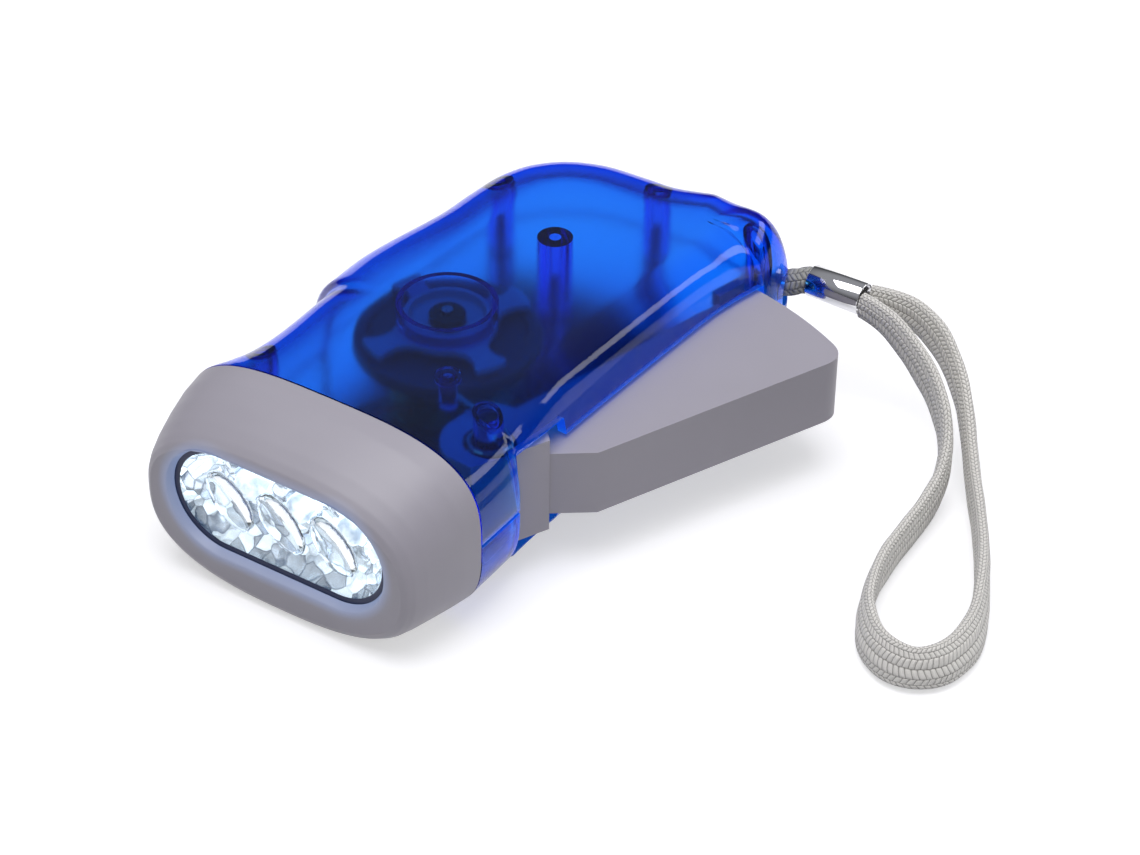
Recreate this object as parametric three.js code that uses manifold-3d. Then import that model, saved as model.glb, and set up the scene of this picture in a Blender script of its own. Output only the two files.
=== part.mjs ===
import * as THREE from "three";
import { mergeVertices } from "three/addons/utils/BufferGeometryUtils.js";
import { ConvexGeometry } from "three/addons/geometries/ConvexGeometry.js";
import { LoftGeometry } from "three/addons/geometries/LoftGeometry.js";
import Module from "manifold-3d";

// A squeeze-lever dynamo torch, in millimetres with +Z up. It lies on its flat lower shell at
// Z = 0, the light shines along -Y, the lever swings out on the +X side, and the strap lies
// beside it. The pieces are placed from the middle of the front face, and the whole torch is
// then moved so that the rotor axle stands over the origin.

const wasm = await Module();
wasm.setup();

// Driving sizes of the body
const tail_beyond_lever = 12.8;
const body_thickness = 34.6;
const head_half_width = 29.05;
const bezel_length = 15.4;
const wall = 1.8;
const swell_depth = 2.3;

// Clearances
const seat_gap = 0.3;
const running_gap = 0.06;
const slot_gap = 0.85;
const cut_overrun = 5;
const merge_distance = 0.001;

// Light
const light_side_rim = 7.98;
const light_edge_rim = 7.52;
const light_lip = 1.6;
const lens_thickness = 1.2;
const lens_rim = 0.9;
const bulge_radius = 4.6;
const bulge_depth = 1.3;
const reflector_depth = 8.6;
const led_radius = 2.5;
const led_flange_radius = 2.9;
const led_length = 6.9;
const led_spacing = 10.3;
const board_thickness = 1.2;

// Lever
const pivot_from_side = 7.05;
const pivot_from_front = 28.2;
const pivot_radius = 1.6;
const lever_reach = 66;
const lever_thickness = 12.3;
const knuckle_radius = 10.1;
const knuckle_inner_radius = 7.8;
const knuckle_flat_distance = 4.26;
const lever_skin = 2;
const stop_lip_width = 1.6;
const stop_lip_height = 1.5;
const lever_corner = 4;

// Gear train and generator
const rotor_from_front = 48.6;
const sector_module = 1;
const sector_teeth = 35;
const train_module = 0.72;
const wheel_teeth = 24;
const pinion_teeth = 8;
const mesh_gap = 0.1;
const gear_thickness = 1.5;
const gear_axle_radius = 0.9;
const rotor_axle_radius = 1;
const generator_radius = 11;
const magnet_radius = 6;
const flywheel_radius = 16;
const flywheel_thickness = 2.4;
const flywheel_clearance = 1.34;
const plate_thickness = 1;
const claw_plate_thickness = 0.8;
const claw_thickness = 0.7;
const bobbin_wall = 0.7;
const bracket_thickness = 1.3;
const bracket_reach = 16.5;
const rib_ring_radius = 8.55;
const rib_ring_width = 0.95;

// Return spring
const spring_wire = 0.9;
const spring_radius = 3.3;
const spring_pitch = 1.35;
const spring_turns = 3;
const spring_post_radius = 1.5;

// Cells, leads and screws
const cell_radius = 5.8;
const cell_length = 4.7;
const contact_thickness = 0.5;
const lead_radius = 0.5;
const boss_radius = 2.4;
const middle_boss_radius = 3.07;
const boss_from_flywheel = 7.15;
const screw_radius = 1;
const screw_head_radius = 1.9;
const screw_head_height = 1.5;

// Wrist strap
const strap_width = 7.2;
const strap_thickness = 2.4;
const tail_radius = 2.3;
const knot_radius = 3;
const sleeve_radius = 2.9;
const sleeve_wall = 0.35;
const sleeve_length = 10.4;

// Heights and places that follow from the driving sizes
const body_length = pivot_from_front + lever_reach + tail_beyond_lever;
const mid_height = body_thickness / 2;
const pivot_x = head_half_width - pivot_from_side;
const body_edge_depth = head_half_width * 0.3098;
const palm_edge_depth = head_half_width * 0.4819;
const under_edge_depth = head_half_width * 0.4475;
const nose_edge_depth = head_half_width * 0.3442;
const light_half_length = head_half_width - light_side_rim;
const light_half_height = mid_height - light_edge_rim;
const floor_top = wall;
const ceiling = body_thickness - wall;
const head_centre_x = head_half_width * 0.024;
const round_sides = 28;
const small_sides = 12;
const degree = Math.PI / 180;
const pivot = new THREE.Vector2(pivot_x, pivot_from_front);
const rotor = new THREE.Vector2(0, rotor_from_front);

const finishes = {
  shell: { color: 0x1440e0, roughness: 0.12, metalness: 0, transparent: true, opacity: 0.6 },
  grey: { color: 0x9d9aa2, roughness: 0.5, metalness: 0 },
  clear: { color: 0xe8f4ff, roughness: 0.05, metalness: 0, transparent: true, opacity: 0.4 },
  silver: { color: 0xe6ebf2, roughness: 0.15, metalness: 0.9 },
  chrome: { color: 0xd8d8dc, roughness: 0.06, metalness: 1 },
  steel: { color: 0xa9abb0, roughness: 0.3, metalness: 1 },
  brass: { color: 0xc9a24b, roughness: 0.35, metalness: 1 },
  copper: { color: 0xb4622d, roughness: 0.4, metalness: 0.8 },
  magnet: { color: 0x33343a, roughness: 0.5, metalness: 0.3 },
  board: { color: 0x1f6b3a, roughness: 0.5, metalness: 0 },
  white_plastic: { color: 0xe9e7e0, roughness: 0.45, metalness: 0 },
  black_plastic: { color: 0x26262a, roughness: 0.5, metalness: 0 },
  red_lead: { color: 0xb8241f, roughness: 0.5, metalness: 0 },
  black_lead: { color: 0x1c1c1f, roughness: 0.5, metalness: 0 },
  webbing: { color: 0xc4c2bf, roughness: 0.9, metalness: 0 },
  dark_braid: { color: 0x55564f, roughness: 0.9, metalness: 0 },
};

const torch = new THREE.Group();
torch.position.y = -rotor_from_front;

// A closed geometry as a solid with its faces turned outwards.
function solidOf(geometry) {
  const bare = new THREE.BufferGeometry();
  bare.setAttribute("position", geometry.getAttribute("position"));
  bare.setIndex(geometry.getIndex());
  const merged = mergeVertices(bare, merge_distance);
  const corners = merged.index.array;
  const triangles = [];
  for (let i = 0; i < corners.length; i += 3) {
    const [a, b, c] = corners.slice(i, i + 3);
    if (a !== b && b !== c && c !== a) triangles.push(a, b, c);
  }
  const vertProperties = merged.attributes.position.array;
  const make = (list) =>
    new wasm.Manifold(new wasm.Mesh({ numProp: 3, vertProperties, triVerts: new Uint32Array(list) }));
  const solid = make(triangles);
  return solid.volume() > 0 ? solid : make(triangles.reverse());
}

// Adds a solid to the torch as a named mesh.
function addPiece(name, solid, finish) {
  const mesh = solid.getMesh();
  const places = new Float32Array((mesh.vertProperties.length / mesh.numProp) * 3);
  for (let i = 0; i < places.length / 3; i++) {
    for (let axis = 0; axis < 3; axis++) {
      places[i * 3 + axis] = mesh.vertProperties[i * mesh.numProp + axis];
    }
  }
  const geometry = new THREE.BufferGeometry();
  geometry.setAttribute("position", new THREE.BufferAttribute(places, 3));
  geometry.setIndex(new THREE.BufferAttribute(new Uint32Array(mesh.triVerts), 1));
  geometry.computeVertexNormals();
  const piece = new THREE.Mesh(geometry, new THREE.MeshStandardMaterial(finishes[finish]));
  piece.name = name;
  torch.add(piece);
}

const joined = (...solids) => solids.reduce((whole, next) => whole.add(next));
const cut = (body, ...tools) => tools.reduce((left, tool) => left.subtract(tool), body);

function block(x0, x1, y0, y1, z0, z1) {
  const box = new THREE.BoxGeometry(x1 - x0, y1 - y0, z1 - z0);
  return solidOf(box.translate((x0 + x1) / 2, (y0 + y1) / 2, (z0 + z1) / 2));
}

function column(radius, place, bottom, top, sides = small_sides) {
  const rod = new THREE.CylinderGeometry(radius, radius, top - bottom, sides).rotateX(Math.PI / 2);
  return solidOf(rod.translate(place.x, place.y, (bottom + top) / 2));
}

// A round bar between two points.
function bar(radius, from, to, sides = small_sides) {
  const along = to.clone().sub(from);
  const rod = new THREE.CylinderGeometry(radius, radius, along.length(), sides);
  rod.applyQuaternion(
    new THREE.Quaternion().setFromUnitVectors(new THREE.Vector3(0, 1, 0), along.clone().normalize()),
  );
  const middle = from.clone().add(to).multiplyScalar(0.5);
  return solidOf(rod.translate(middle.x, middle.y, middle.z));
}

// A turned piece about a vertical line: its profile is [radius, height] pairs from axis to axis,
// or a ring of pairs that closes on itself.
function turned(profile, place, sides = round_sides) {
  const points = profile.map(([radius, height]) => new THREE.Vector2(radius, height));
  const lathe = new THREE.LatheGeometry(points, sides).rotateX(Math.PI / 2);
  return solidOf(lathe.translate(place.x, place.y, 0));
}

function prism(points, bottom, top) {
  const shape = new THREE.Shape(points);
  const slab = new THREE.ExtrudeGeometry(shape, { depth: top - bottom, bevelEnabled: false });
  return solidOf(slab.translate(0, 0, bottom));
}

// A slab round several discs, given as [place, radius] pairs.
function slabRound(discs, bottom, top) {
  const points = [];
  for (const [place, radius] of discs) {
    for (let i = 0; i < small_sides; i++) {
      const angle = (i / small_sides) * 2 * Math.PI;
      const x = place.x + radius * Math.cos(angle);
      const y = place.y + radius * Math.sin(angle);
      points.push(new THREE.Vector3(x, y, bottom), new THREE.Vector3(x, y, top));
    }
  }
  return solidOf(new ConvexGeometry(points));
}

function tube(points, radius_across, radius_up, steps, sides) {
  const section = new THREE.Shape();
  for (let i = 0; i < sides; i++) {
    const angle = ((i + 0.5) / sides) * 2 * Math.PI;
    const x = radius_up * Math.cos(angle);
    const y = radius_across * Math.sin(angle);
    if (i === 0) section.moveTo(x, y);
    else section.lineTo(x, y);
  }
  const extrudePath = new THREE.CatmullRomCurve3(points);
  return solidOf(new THREE.ExtrudeGeometry(section, { steps, extrudePath, bevelEnabled: false }));
}

// A solid lofted through rings whose points run clockwise, seen from the last ring.
function loft(rings) {
  const turned_rings = rings.map((ring) => [...ring].reverse());
  return solidOf(new LoftGeometry(turned_rings, { capStart: true, capEnd: true }));
}

const smooth = (value, from, to) => THREE.MathUtils.smoothstep(value, from, to);
const mix = (a, b, share) => a + (b - a) * share;

// The body's outline at mid height, as shares of the head's half width and of the length:
// up the palm side, round the tail and its nose, and back down the lever side.
const outline_shares = [
  [-0.977, 0.1], [-0.976, 0.144], [-0.93, 0.173], [-0.874, 0.215], [-0.843, 0.271],
  [-0.83, 0.346], [-0.826, 0.43], [-0.823, 0.505], [-0.802, 0.589], [-0.768, 0.682],
  [-0.747, 0.76], [-0.709, 0.832], [-0.599, 0.897], [-0.39, 0.952], [-0.11, 0.984],
  [0.207, 0.992], [0.551, 0.993], [0.878, 0.993], [1.077, 0.986], [1.181, 0.963], [1.225, 0.928],
  [1.225, 0.891], [1.184, 0.85], [1.139, 0.804], [1.108, 0.748], [1.074, 0.617],
  [1.046, 0.486], [1.029, 0.393], [1.022, 0.299], [1.026, 0.224], [1.024, 0.144],
  [1.024, 0.1],
];
const outline_steps = 62;
const section_power = 3.2;
const soft_power = 2.35;
const crown_share = 0.998;
const swell_shares = [0.407, 0.43, 0.5, 0.71];
const edge_blend_shares = [0.144, 0.38];
const nose_x_shares = [0.35, 0.95];
const nose_y_shares = [0.78, 0.9];
const nose_heart_share = [0.8, 0.865];
const lever_side_shares = [0.35, 0.95];
const swell_extra_steps = 5;
const outer_level_shares = [0.42, 0.68, 0.86, 0.95, crown_share];
const inner_level_shares = [0.6, 0.88, crown_share];

// How far the wall has rounded inwards at a share of the half height.
const roundedIn = (level, power) => 1 - (1 - level ** power) ** (1 / power);

// The head and the tail keep their form when the body's length changes: up to the head's share
// of the length, places go with the bezel's length, and past the tail's share they are measured
// from the body's end.
const head_share = 0.144;
const tail_share = 0.72;
const tail_length = head_half_width * 1.0313;
const tail_start = body_length - tail_length;

function lengthAt(share) {
  if (share < head_share) return (share / head_share) * bezel_length;
  if (share < tail_share) {
    const between = (share - head_share) / (tail_share - head_share);
    return bezel_length + (tail_start - bezel_length) * between;
  }
  return body_length - (tail_length * (1 - share)) / (1 - tail_share);
}

function shareAt(length) {
  if (length < bezel_length) return (length / bezel_length) * head_share;
  if (length < tail_start) {
    const between = (length - bezel_length) / (tail_start - bezel_length);
    return head_share + (tail_share - head_share) * between;
  }
  return 1 - ((body_length - length) / tail_length) * (1 - tail_share);
}

const placeAt = ([x, y]) => new THREE.Vector2(x * head_half_width, lengthAt(y));
const outline = new THREE.SplineCurve(outline_shares.map(placeAt));

function atNose(place) {
  const along_x = smooth(place.x / head_half_width, ...nose_x_shares);
  return along_x * smooth(shareAt(place.y), ...nose_y_shares);
}

// Shares of the way along the outline, closer together where the finger stop rises.
function outlineStops() {
  const stops = [];
  for (let i = 0; i < outline_steps; i++) {
    const start = outline.getPointAt(i / outline_steps);
    const end = outline.getPointAt((i + 1) / outline_steps);
    const past_start = end.y > lengthAt(swell_shares[0]);
    const before_end = start.y < lengthAt(swell_shares[1]);
    const pieces = start.x < 0 && past_start && before_end ? swell_extra_steps : 1;
    for (let j = 0; j < pieces; j++) stops.push((i + j / pieces) / outline_steps);
  }
  return [...stops, 1];
}

const nose_heart = placeAt(nose_heart_share);

function outlinePlaces() {
  const places = [];
  for (const stop of outlineStops()) {
    const place = outline.getPointAt(stop);
    const along = outline.getTangentAt(stop);
    const sideways = new THREE.Vector2(-Math.sign(place.x), 0);
    const behind_head = smooth(shareAt(place.y), ...edge_blend_shares);
    const inward = sideways.lerp(new THREE.Vector2(along.y, -along.x), behind_head).normalize();
    inward.lerp(nose_heart.clone().sub(place).normalize(), atNose(place)).normalize();
    places.push({ place, inward });
  }
  return places;
}

// How far in the wall stands at a place and a level: the edge is softest above on the palm side
// and below on the lever side.
function edgeIn(place, level) {
  const y = shareAt(place.y);
  const x = place.x / head_half_width;
  const behind_head = smooth(y, ...edge_blend_shares);
  const at_nose = atNose(place);
  const on_lever_side = smooth(x, ...lever_side_shares);
  const softness = level > 0 ? Math.max(1 - on_lever_side, at_nose) : on_lever_side;
  const side_depth = mix(body_edge_depth, level > 0 ? palm_edge_depth : under_edge_depth, softness);
  const depth = mix(mix(head_half_width, side_depth, behind_head), nose_edge_depth, at_nose);
  const power = mix(section_power, soft_power, softness * behind_head);
  return depth * roundedIn(Math.abs(level), power);
}

// The finger stop on the palm side: a swelling that starts sharply and dies away to the tail.
function swell(place) {
  if (place.x > 0) return 0;
  const y = shareAt(place.y);
  const rise = smooth(y, swell_shares[0], swell_shares[1]);
  return swell_depth * rise * (1 - smooth(y, swell_shares[2], swell_shares[3]));
}

// The body as a stack of rings: the outline drawn in by an inset and by its rounded edge.
function bodySolid(inset, level_shares) {
  const levels = [...level_shares.map((level) => -level).reverse(), 0, ...level_shares];
  const places = outlinePlaces();
  const rings = levels.map((level) => {
    const z = mid_height + ((mid_height - inset) * level) / crown_share;
    return places.map(({ place, inward }) => {
      const in_by = inset + edgeIn(place, level) - swell(place) * (1 - level ** 6);
      return new THREE.Vector3(place.x + inward.x * in_by, place.y + inward.y * in_by, z);
    });
  });
  return loft(rings);
}

// Cells: three in a row across the torch, behind the bezel's spigot
const spigot_back = bezel_length + wall * 0.6;
const cell_row = cell_length * 3 + seat_gap * 2;
const cell_left = -cell_row * 0.9;
const cell_end_gap = contact_thickness + seat_gap * 2;
const holder_left = cell_left - cell_end_gap - wall * 0.6;

// Screw bosses that join the shells: behind the flywheel, at the tail's middle, in the nose past
// the lever's end, on the palm side of the tail, and beside the cells.
const well_radius = screw_head_radius + seat_gap;
const well_wall = boss_radius - screw_head_radius + seat_gap;
const well_depth = screw_head_height * 2;
const boss_places = [
  polar(flywheel_radius + boss_from_flywheel + middle_boss_radius, 80.63 * degree, rotor),
  placeAt([0.369, 0.908]),
  polar(lever_reach + seat_gap + boss_radius, 82.42 * degree, pivot),
  placeAt([-0.475, 0.79]),
  new THREE.Vector2(holder_left - well_radius - well_wall - running_gap, spigot_back + boss_radius * 2.5),
];
const bosses = boss_places.map((place, index) => ({
  place,
  radius: index === 0 ? middle_boss_radius : boss_radius,
}));

// Gear heights: three layers over the floor, then the plate that carries the generator.
const axle_boss_top = floor_top + wall * 0.65;
const layer_a = axle_boss_top + seat_gap;
const layer_b = layer_a + gear_thickness + seat_gap;
const layer_c = layer_b + gear_thickness + seat_gap * 0.7;
const sector_top = layer_c + gear_thickness - seat_gap * 0.4;
const plate_bottom = sector_top + seat_gap;
const plate_top = plate_bottom + plate_thickness;
const knuckle_bottom = sector_top - merge_distance * 10;
const knuckle_top = body_thickness - knuckle_bottom;
const socket_bottom = floor_top * 0.55;
const axle_bottom = socket_bottom + running_gap;

const pitchRadius = (teeth, module) => (teeth * module) / 2;
const first_distance = pitchRadius(sector_teeth + pinion_teeth, sector_module) + mesh_gap;
const train_distance = pitchRadius(wheel_teeth + pinion_teeth, train_module) + mesh_gap;
const first_angle = 155.7 * degree;
const first_gear_place = new THREE.Vector2(Math.cos(first_angle), Math.sin(first_angle))
  .multiplyScalar(first_distance)
  .add(pivot);
const clutch_place = apexBetween(first_gear_place, rotor, train_distance);

// The point on the palm side that lies one distance from both of two places.
function apexBetween(a, b, distance) {
  const half = b.clone().sub(a).multiplyScalar(0.5);
  const rise = Math.sqrt(distance ** 2 - half.lengthSq());
  const side = new THREE.Vector2(-half.y, half.x).normalize().multiplyScalar(rise);
  return a.clone().add(half).add(side);
}

const angleTo = (from, to) => Math.atan2(to.y - from.y, to.x - from.x);

// Involute tooth flanks, thinned for backlash. A tooth stands at the start angle.
const pressure_angle = 22 * degree;
const tooth_share = 0.4;
const addendum_share = 0.85;
const dedendum_share = 1.05;
const involute = (angle) => Math.tan(angle) - angle;

function toothPoints(teeth, module, start, first, last) {
  const pitch_radius = pitchRadius(teeth, module);
  const base_radius = pitch_radius * Math.cos(pressure_angle);
  const half_tooth = (Math.PI / teeth) * tooth_share;
  const points = [];
  const root = pitch_radius - dedendum_share * module;
  const tip = pitch_radius + addendum_share * module;
  const flank = [root, tip].map((radius) => {
    const turn = radius > base_radius ? involute(Math.acos(base_radius / radius)) : 0;
    return [radius, half_tooth + involute(pressure_angle) - turn];
  });
  for (let tooth = first; tooth <= last; tooth++) {
    const centre = start + (tooth * 2 * Math.PI) / teeth;
    for (const [radius, half] of flank) points.push(polar(radius, centre - half));
    for (const [radius, half] of [...flank].reverse()) points.push(polar(radius, centre + half));
  }
  return points;
}

function polar(radius, angle, centre = new THREE.Vector2()) {
  return new THREE.Vector2(Math.cos(angle), Math.sin(angle)).multiplyScalar(radius).add(centre);
}

const shifted = (points, place) => points.map((point) => point.clone().add(place));

function gear(teeth, module, start, place, bottom, top) {
  return prism(shifted(toothPoints(teeth, module, start, 0, teeth - 1), place), bottom, top);
}

// Shells
const outer_body = bodySolid(0, outer_level_shares);
const cavity = bodySolid(wall, inner_level_shares);
const far = body_length * 2;
const slot_half_height = lever_thickness / 2 + slot_gap;
const window_half_height = mid_height - knuckle_bottom + slot_gap * 1.2;
const window_front = pivot_from_front - knuckle_radius * 0.19;
const window_back = pivot_from_front + knuckle_radius + slot_gap * 1.5;
const slot_inner_x = pivot_x;
const nose_x = head_half_width * 1.3;

// The opening in the side wall that the lever swings through, rounded about the pivot.
function leverSlot() {
  const x1 = nose_x + cut_overrun;
  const knuckle_window = block(
    slot_inner_x, x1, window_front, window_back,
    mid_height - window_half_height, mid_height + window_half_height,
  );
  const low = mid_height - slot_half_height;
  const high = mid_height + slot_half_height;
  const sweep = column(lever_reach + slot_gap, pivot, low, high, round_sides * 4);
  return joined(knuckle_window, block(slot_inner_x, x1, window_front, far, low, high).intersect(sweep));
}

// The eye in the tail's nose that the strap comes out of.
const knot_place = new THREE.Vector3(0.93 * head_half_width, lengthAt(0.936), mid_height);
const sleeve_start = new THREE.Vector3(1.293 * head_half_width, lengthAt(0.988), mid_height * 1.145);
const sleeve_end = sleeve_start.clone().add(new THREE.Vector3(sleeve_length, 0, 0));
const eye = bar(tail_radius + slot_gap * 0.5, knot_place, sleeve_start);

function hollowShell() {
  const seam = block(-far, far, bezel_length + seat_gap / 2, far, -far, far);
  return cut(outer_body.intersect(seam), cavity, leverSlot(), eye);
}

const hollow = hollowShell();
const pivot_boss_radius = pivot_radius + wall * 0.45;
const pivot_hole = pivot_radius + running_gap;
const pilot_radius = screw_radius + running_gap;
const pilot_top = ceiling - wall * 0.5;
const spring_well_depth = spring_turns * spring_pitch;
const spring_well_bottom = knuckle_top - spring_well_depth;
const spring_post = polar(knuckle_radius + spring_wire, 159.26 * degree, pivot);
const rib_bottom = ceiling - wall * 2;
const bracket_top = rib_bottom - seat_gap;
const bracket_bottom = bracket_top - bracket_thickness;
const flywheel_bottom = bracket_bottom - flywheel_thickness - seat_gap * 3;
const flywheel_hub_bottom = flywheel_bottom - wall;

function upperShell() {
  const half = hollow.intersect(block(-far, far, -far, far, mid_height + seat_gap / 2, far));
  const pillars = [];
  const holes = [column(pivot_hole, pivot, knuckle_bottom, pilot_top + running_gap)];
  for (const { place, radius } of bosses) {
    pillars.push(column(radius, place, mid_height + seat_gap / 2, ceiling + wall / 2));
    holes.push(column(pilot_radius, place, 0, pilot_top));
  }
  pillars.push(column(pivot_boss_radius, pivot, spring_well_bottom + seat_gap, ceiling + wall / 2));
  pillars.push(column(spring_post_radius, spring_post, knuckle_top, ceiling + wall / 2));
  const rib = cut(
    column(rib_ring_radius, rotor, rib_bottom, ceiling + wall / 2, round_sides),
    column(rib_ring_radius - rib_ring_width, rotor, 0, ceiling, round_sides),
  );
  return cut(joined(half, joined(...pillars).intersect(outer_body), rib), ...holes);
}

const post_angles = [75 * degree, 125 * degree];
const post_places = post_angles.map((angle) => polar(generator_radius * 1.32, angle, rotor));
const post_radius = boss_radius;

function lowerShell() {
  const half = hollow.intersect(block(-far, far, -far, far, -far, mid_height - seat_gap / 2));
  const pillars = [];
  const holes = [];
  for (const { place, radius } of bosses) {
    const well_top = well_depth + screw_head_height + wall;
    pillars.push(column(radius, place, floor_top / 2, mid_height - seat_gap / 2));
    pillars.push(column(well_radius + well_wall, place, floor_top / 2, well_top));
    holes.push(column(screw_radius + seat_gap, place, -cut_overrun, body_thickness));
    holes.push(column(well_radius, place, -cut_overrun, well_depth + screw_head_height));
  }
  pillars.push(column(pivot_boss_radius + wall / 2, pivot, floor_top / 2, layer_c - seat_gap));
  holes.push(column(pivot_hole, pivot, socket_bottom, body_thickness));
  for (const place of [first_gear_place, clutch_place, rotor]) {
    pillars.push(column(rotor_axle_radius * 2.2, place, floor_top / 2, axle_boss_top));
    const radius = place === rotor ? rotor_axle_radius : gear_axle_radius;
    holes.push(column(radius + running_gap, place, socket_bottom, body_thickness));
  }
  for (const place of post_places) {
    pillars.push(column(post_radius, place, floor_top / 2, plate_bottom - seat_gap));
    holes.push(column(pilot_radius, place, floor_top, body_thickness));
  }
  return cut(joined(half, joined(...pillars).intersect(outer_body)), ...holes);
}

addPiece("upper_shell", upperShell(), "shell");
addPiece("lower_shell", lowerShell(), "shell");

// Head bezel: half width, top and bottom of its sections, from the front face to the seam
const bezel_section_shares = [
  [0, 0.86, 0.82, 0.055], [0.04, 0.89, 0.85, 0.022], [0.12, 0.913, 0.877, 0.004],
  [0.27, 0.937, 0.913, 0], [0.5, 0.963, 0.955, 0], [0.75, 0.986, 0.987, 0], [1, 1, 1, 0],
];
const bezel_ring_steps = 44;
const head_front_power = 2.6;
const bezel_wall = wall * 2.1;
const spigot_inset = wall * 1.8;
const spigot_wall = wall * 0.8;

// A rounded ring across the head: half width, top, bottom, and how far it is drawn in.
function headRing(share, half_width, top, bottom, inset, y) {
  const ring = [];
  const power = mix(head_front_power, section_power, share);
  const centre = (top + bottom) / 2;
  const half_height = (top - bottom) / 2 - inset;
  for (let i = 0; i < bezel_ring_steps; i++) {
    const angle = (i / bezel_ring_steps) * 2 * Math.PI;
    const across = Math.sign(Math.cos(angle)) * Math.abs(Math.cos(angle)) ** (2 / power);
    const up = Math.sign(Math.sin(angle)) * Math.abs(Math.sin(angle)) ** (2 / power);
    const x = head_centre_x * share + across * (half_width - inset);
    ring.push(new THREE.Vector3(x, y, centre + up * half_height));
  }
  return ring;
}

function headLoft(inset, front, back) {
  const rings = bezel_section_shares.map(([along, width, top, bottom]) => {
    const y = mix(front, back, along);
    const [high, low] = [top * body_thickness, bottom * body_thickness];
    return headRing(along, width * head_half_width, high, low, inset, y);
  });
  return loft(rings);
}

function seamTube(inset, front, back) {
  const rings = [front, back].map((y) => headRing(1, head_half_width, body_thickness, 0, inset, y));
  return loft(rings);
}

// A ring of the light's shape, which is straight above and below and round at both ends.
function lightRing(grow, y) {
  const ring = [];
  const radius = light_half_height + grow;
  const straight = light_half_length - light_half_height;
  const steps = round_sides / 2;
  for (const side of [1, -1]) {
    for (let i = 0; i <= steps; i++) {
      const angle = (i / steps) * Math.PI - Math.PI / 2;
      const x = side * (straight + radius * Math.cos(angle));
      ring.push(new THREE.Vector3(x, y, mid_height + side * radius * Math.sin(angle)));
    }
  }
  return ring;
}

function lightSlab(grow_front, grow_back, front, back) {
  const rings = [lightRing(grow_front, front), lightRing(grow_back, back)];
  return loft(rings);
}

const lens_front = light_lip + seat_gap;
const lens_back = lens_front + lens_thickness;
const reflector_front = lens_back + seat_gap;
const reflector_back = reflector_front + reflector_depth;
const board_front = reflector_back + seat_gap;
const board_back = board_front + board_thickness;
const recess_grow = lens_rim + seat_gap;
const seat_back = reflector_front + wall * 1.5;

function headBezel() {
  const skin = headLoft(0, 0, bezel_length - seat_gap / 2);
  const opening = lightSlab(wall * 0.4, 0, -cut_overrun * 0.1, light_lip);
  const recess = lightSlab(recess_grow, recess_grow, light_lip * 0.99, seat_back);
  const inside = seamTube(bezel_wall, seat_back * 0.99, far);
  const chamber = inside.intersect(lightSlab(recess_grow * 3, recess_grow * 3, 0, far));
  const spigot = cut(
    seamTube(spigot_inset, bezel_length - wall * 2, spigot_back),
    seamTube(spigot_inset + spigot_wall, 0, far),
  );
  return cut(joined(skin, spigot), opening, recess, chamber);
}

const led_flange = led_length * 0.16;
const led_places = [-led_spacing, 0, led_spacing];

// A turned piece about a line along Y: heights in its profile run forwards from a plane.
function turnedForwards(profile, x, from, z, sides = small_sides) {
  const points = profile.map(([radius, height]) => new THREE.Vector2(radius, height));
  const lathe = new THREE.LatheGeometry(points, sides).rotateX(Math.PI);
  return solidOf(lathe.translate(x, from, z));
}

function frontLens() {
  const plate = lightSlab(lens_rim, lens_rim, lens_front, lens_back);
  const bulges = led_places.map((x) => {
    const front = lens_thickness * 0.5;
    const dome = [[0, -bulge_depth], [bulge_radius * 0.45, -bulge_depth * 0.86],
      [bulge_radius * 0.8, -bulge_depth * 0.45], [bulge_radius, front], [0, front]];
    return turnedForwards(dome, x, lens_back, mid_height);
  });
  return joined(plate, ...bulges);
}

function reflector() {
  const body = lightSlab(lens_rim, 0, reflector_front, reflector_back);
  const bowl_back = reflector_front + reflector_depth * 0.62;
  const bowl = lightSlab(0, -light_half_height * 0.42, reflector_front - wall * 0.1, bowl_back);
  const cups = led_places.map((x) => {
    const cup = [[0, -cut_overrun], [led_flange_radius + seat_gap, -cut_overrun],
      [led_flange_radius + seat_gap, led_flange], [led_radius + seat_gap, led_flange],
      [led_radius * 1.5, reflector_depth * 0.35], [led_radius * 1.9, reflector_depth * 0.7],
      [led_radius * 1.9, reflector_depth * 0.75], [0, reflector_depth * 0.75]];
    return turnedForwards(cup, x, reflector_back, mid_height, 20);
  });
  return cut(body, bowl, ...cups);
}

function led(x) {
  const dome_start = led_length - led_radius;
  const profile = [[0, 0], [led_flange_radius, 0], [led_flange_radius, led_flange - seat_gap],
    [led_radius, led_flange - seat_gap],
    [led_radius, dome_start], [led_radius * 0.87, dome_start + led_radius * 0.5],
    [led_radius * 0.5, dome_start + led_radius * 0.87], [0, led_length]];
  return turnedForwards(profile, x, board_front - running_gap, mid_height);
}

addPiece("head_bezel", headBezel(), "grey");
addPiece("front_lens", frontLens(), "clear");
addPiece("reflector", reflector(), "silver");
addPiece("led_board", lightSlab(0, 0, board_front, board_back), "board");
["led_left", "led_center", "led_right"].forEach((name, i) => addPiece(name, led(led_places[i]), "clear"));

// Lever: a thick arm and a taller round knuckle about the pivot, moulded with a toothed sector.
// Its places are shares of the lever's reach, with the lever swung out.
const arm_inner_root_share = [-0.067, 0.152];
const arm_inner_end_share = [0.135, 0.991];
const arm_outer_bend_share = [0.2111, 0.1721];
const arm_outer_root_share = [0.1166, 0.1028];
const arm_outer_end_share = [0.5138, 0.8574];
const knuckle_flat_angle = -25.6 * degree;
const knuckle_back_angle = 135 * degree;
const knuckle_inner_angles = [165 * degree, 245 * degree];
const sector_first_tooth = -3;
const sector_last_tooth = 1;

const fromShare = ([x, y], reach) => new THREE.Vector2(x * reach, y * reach);

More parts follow.
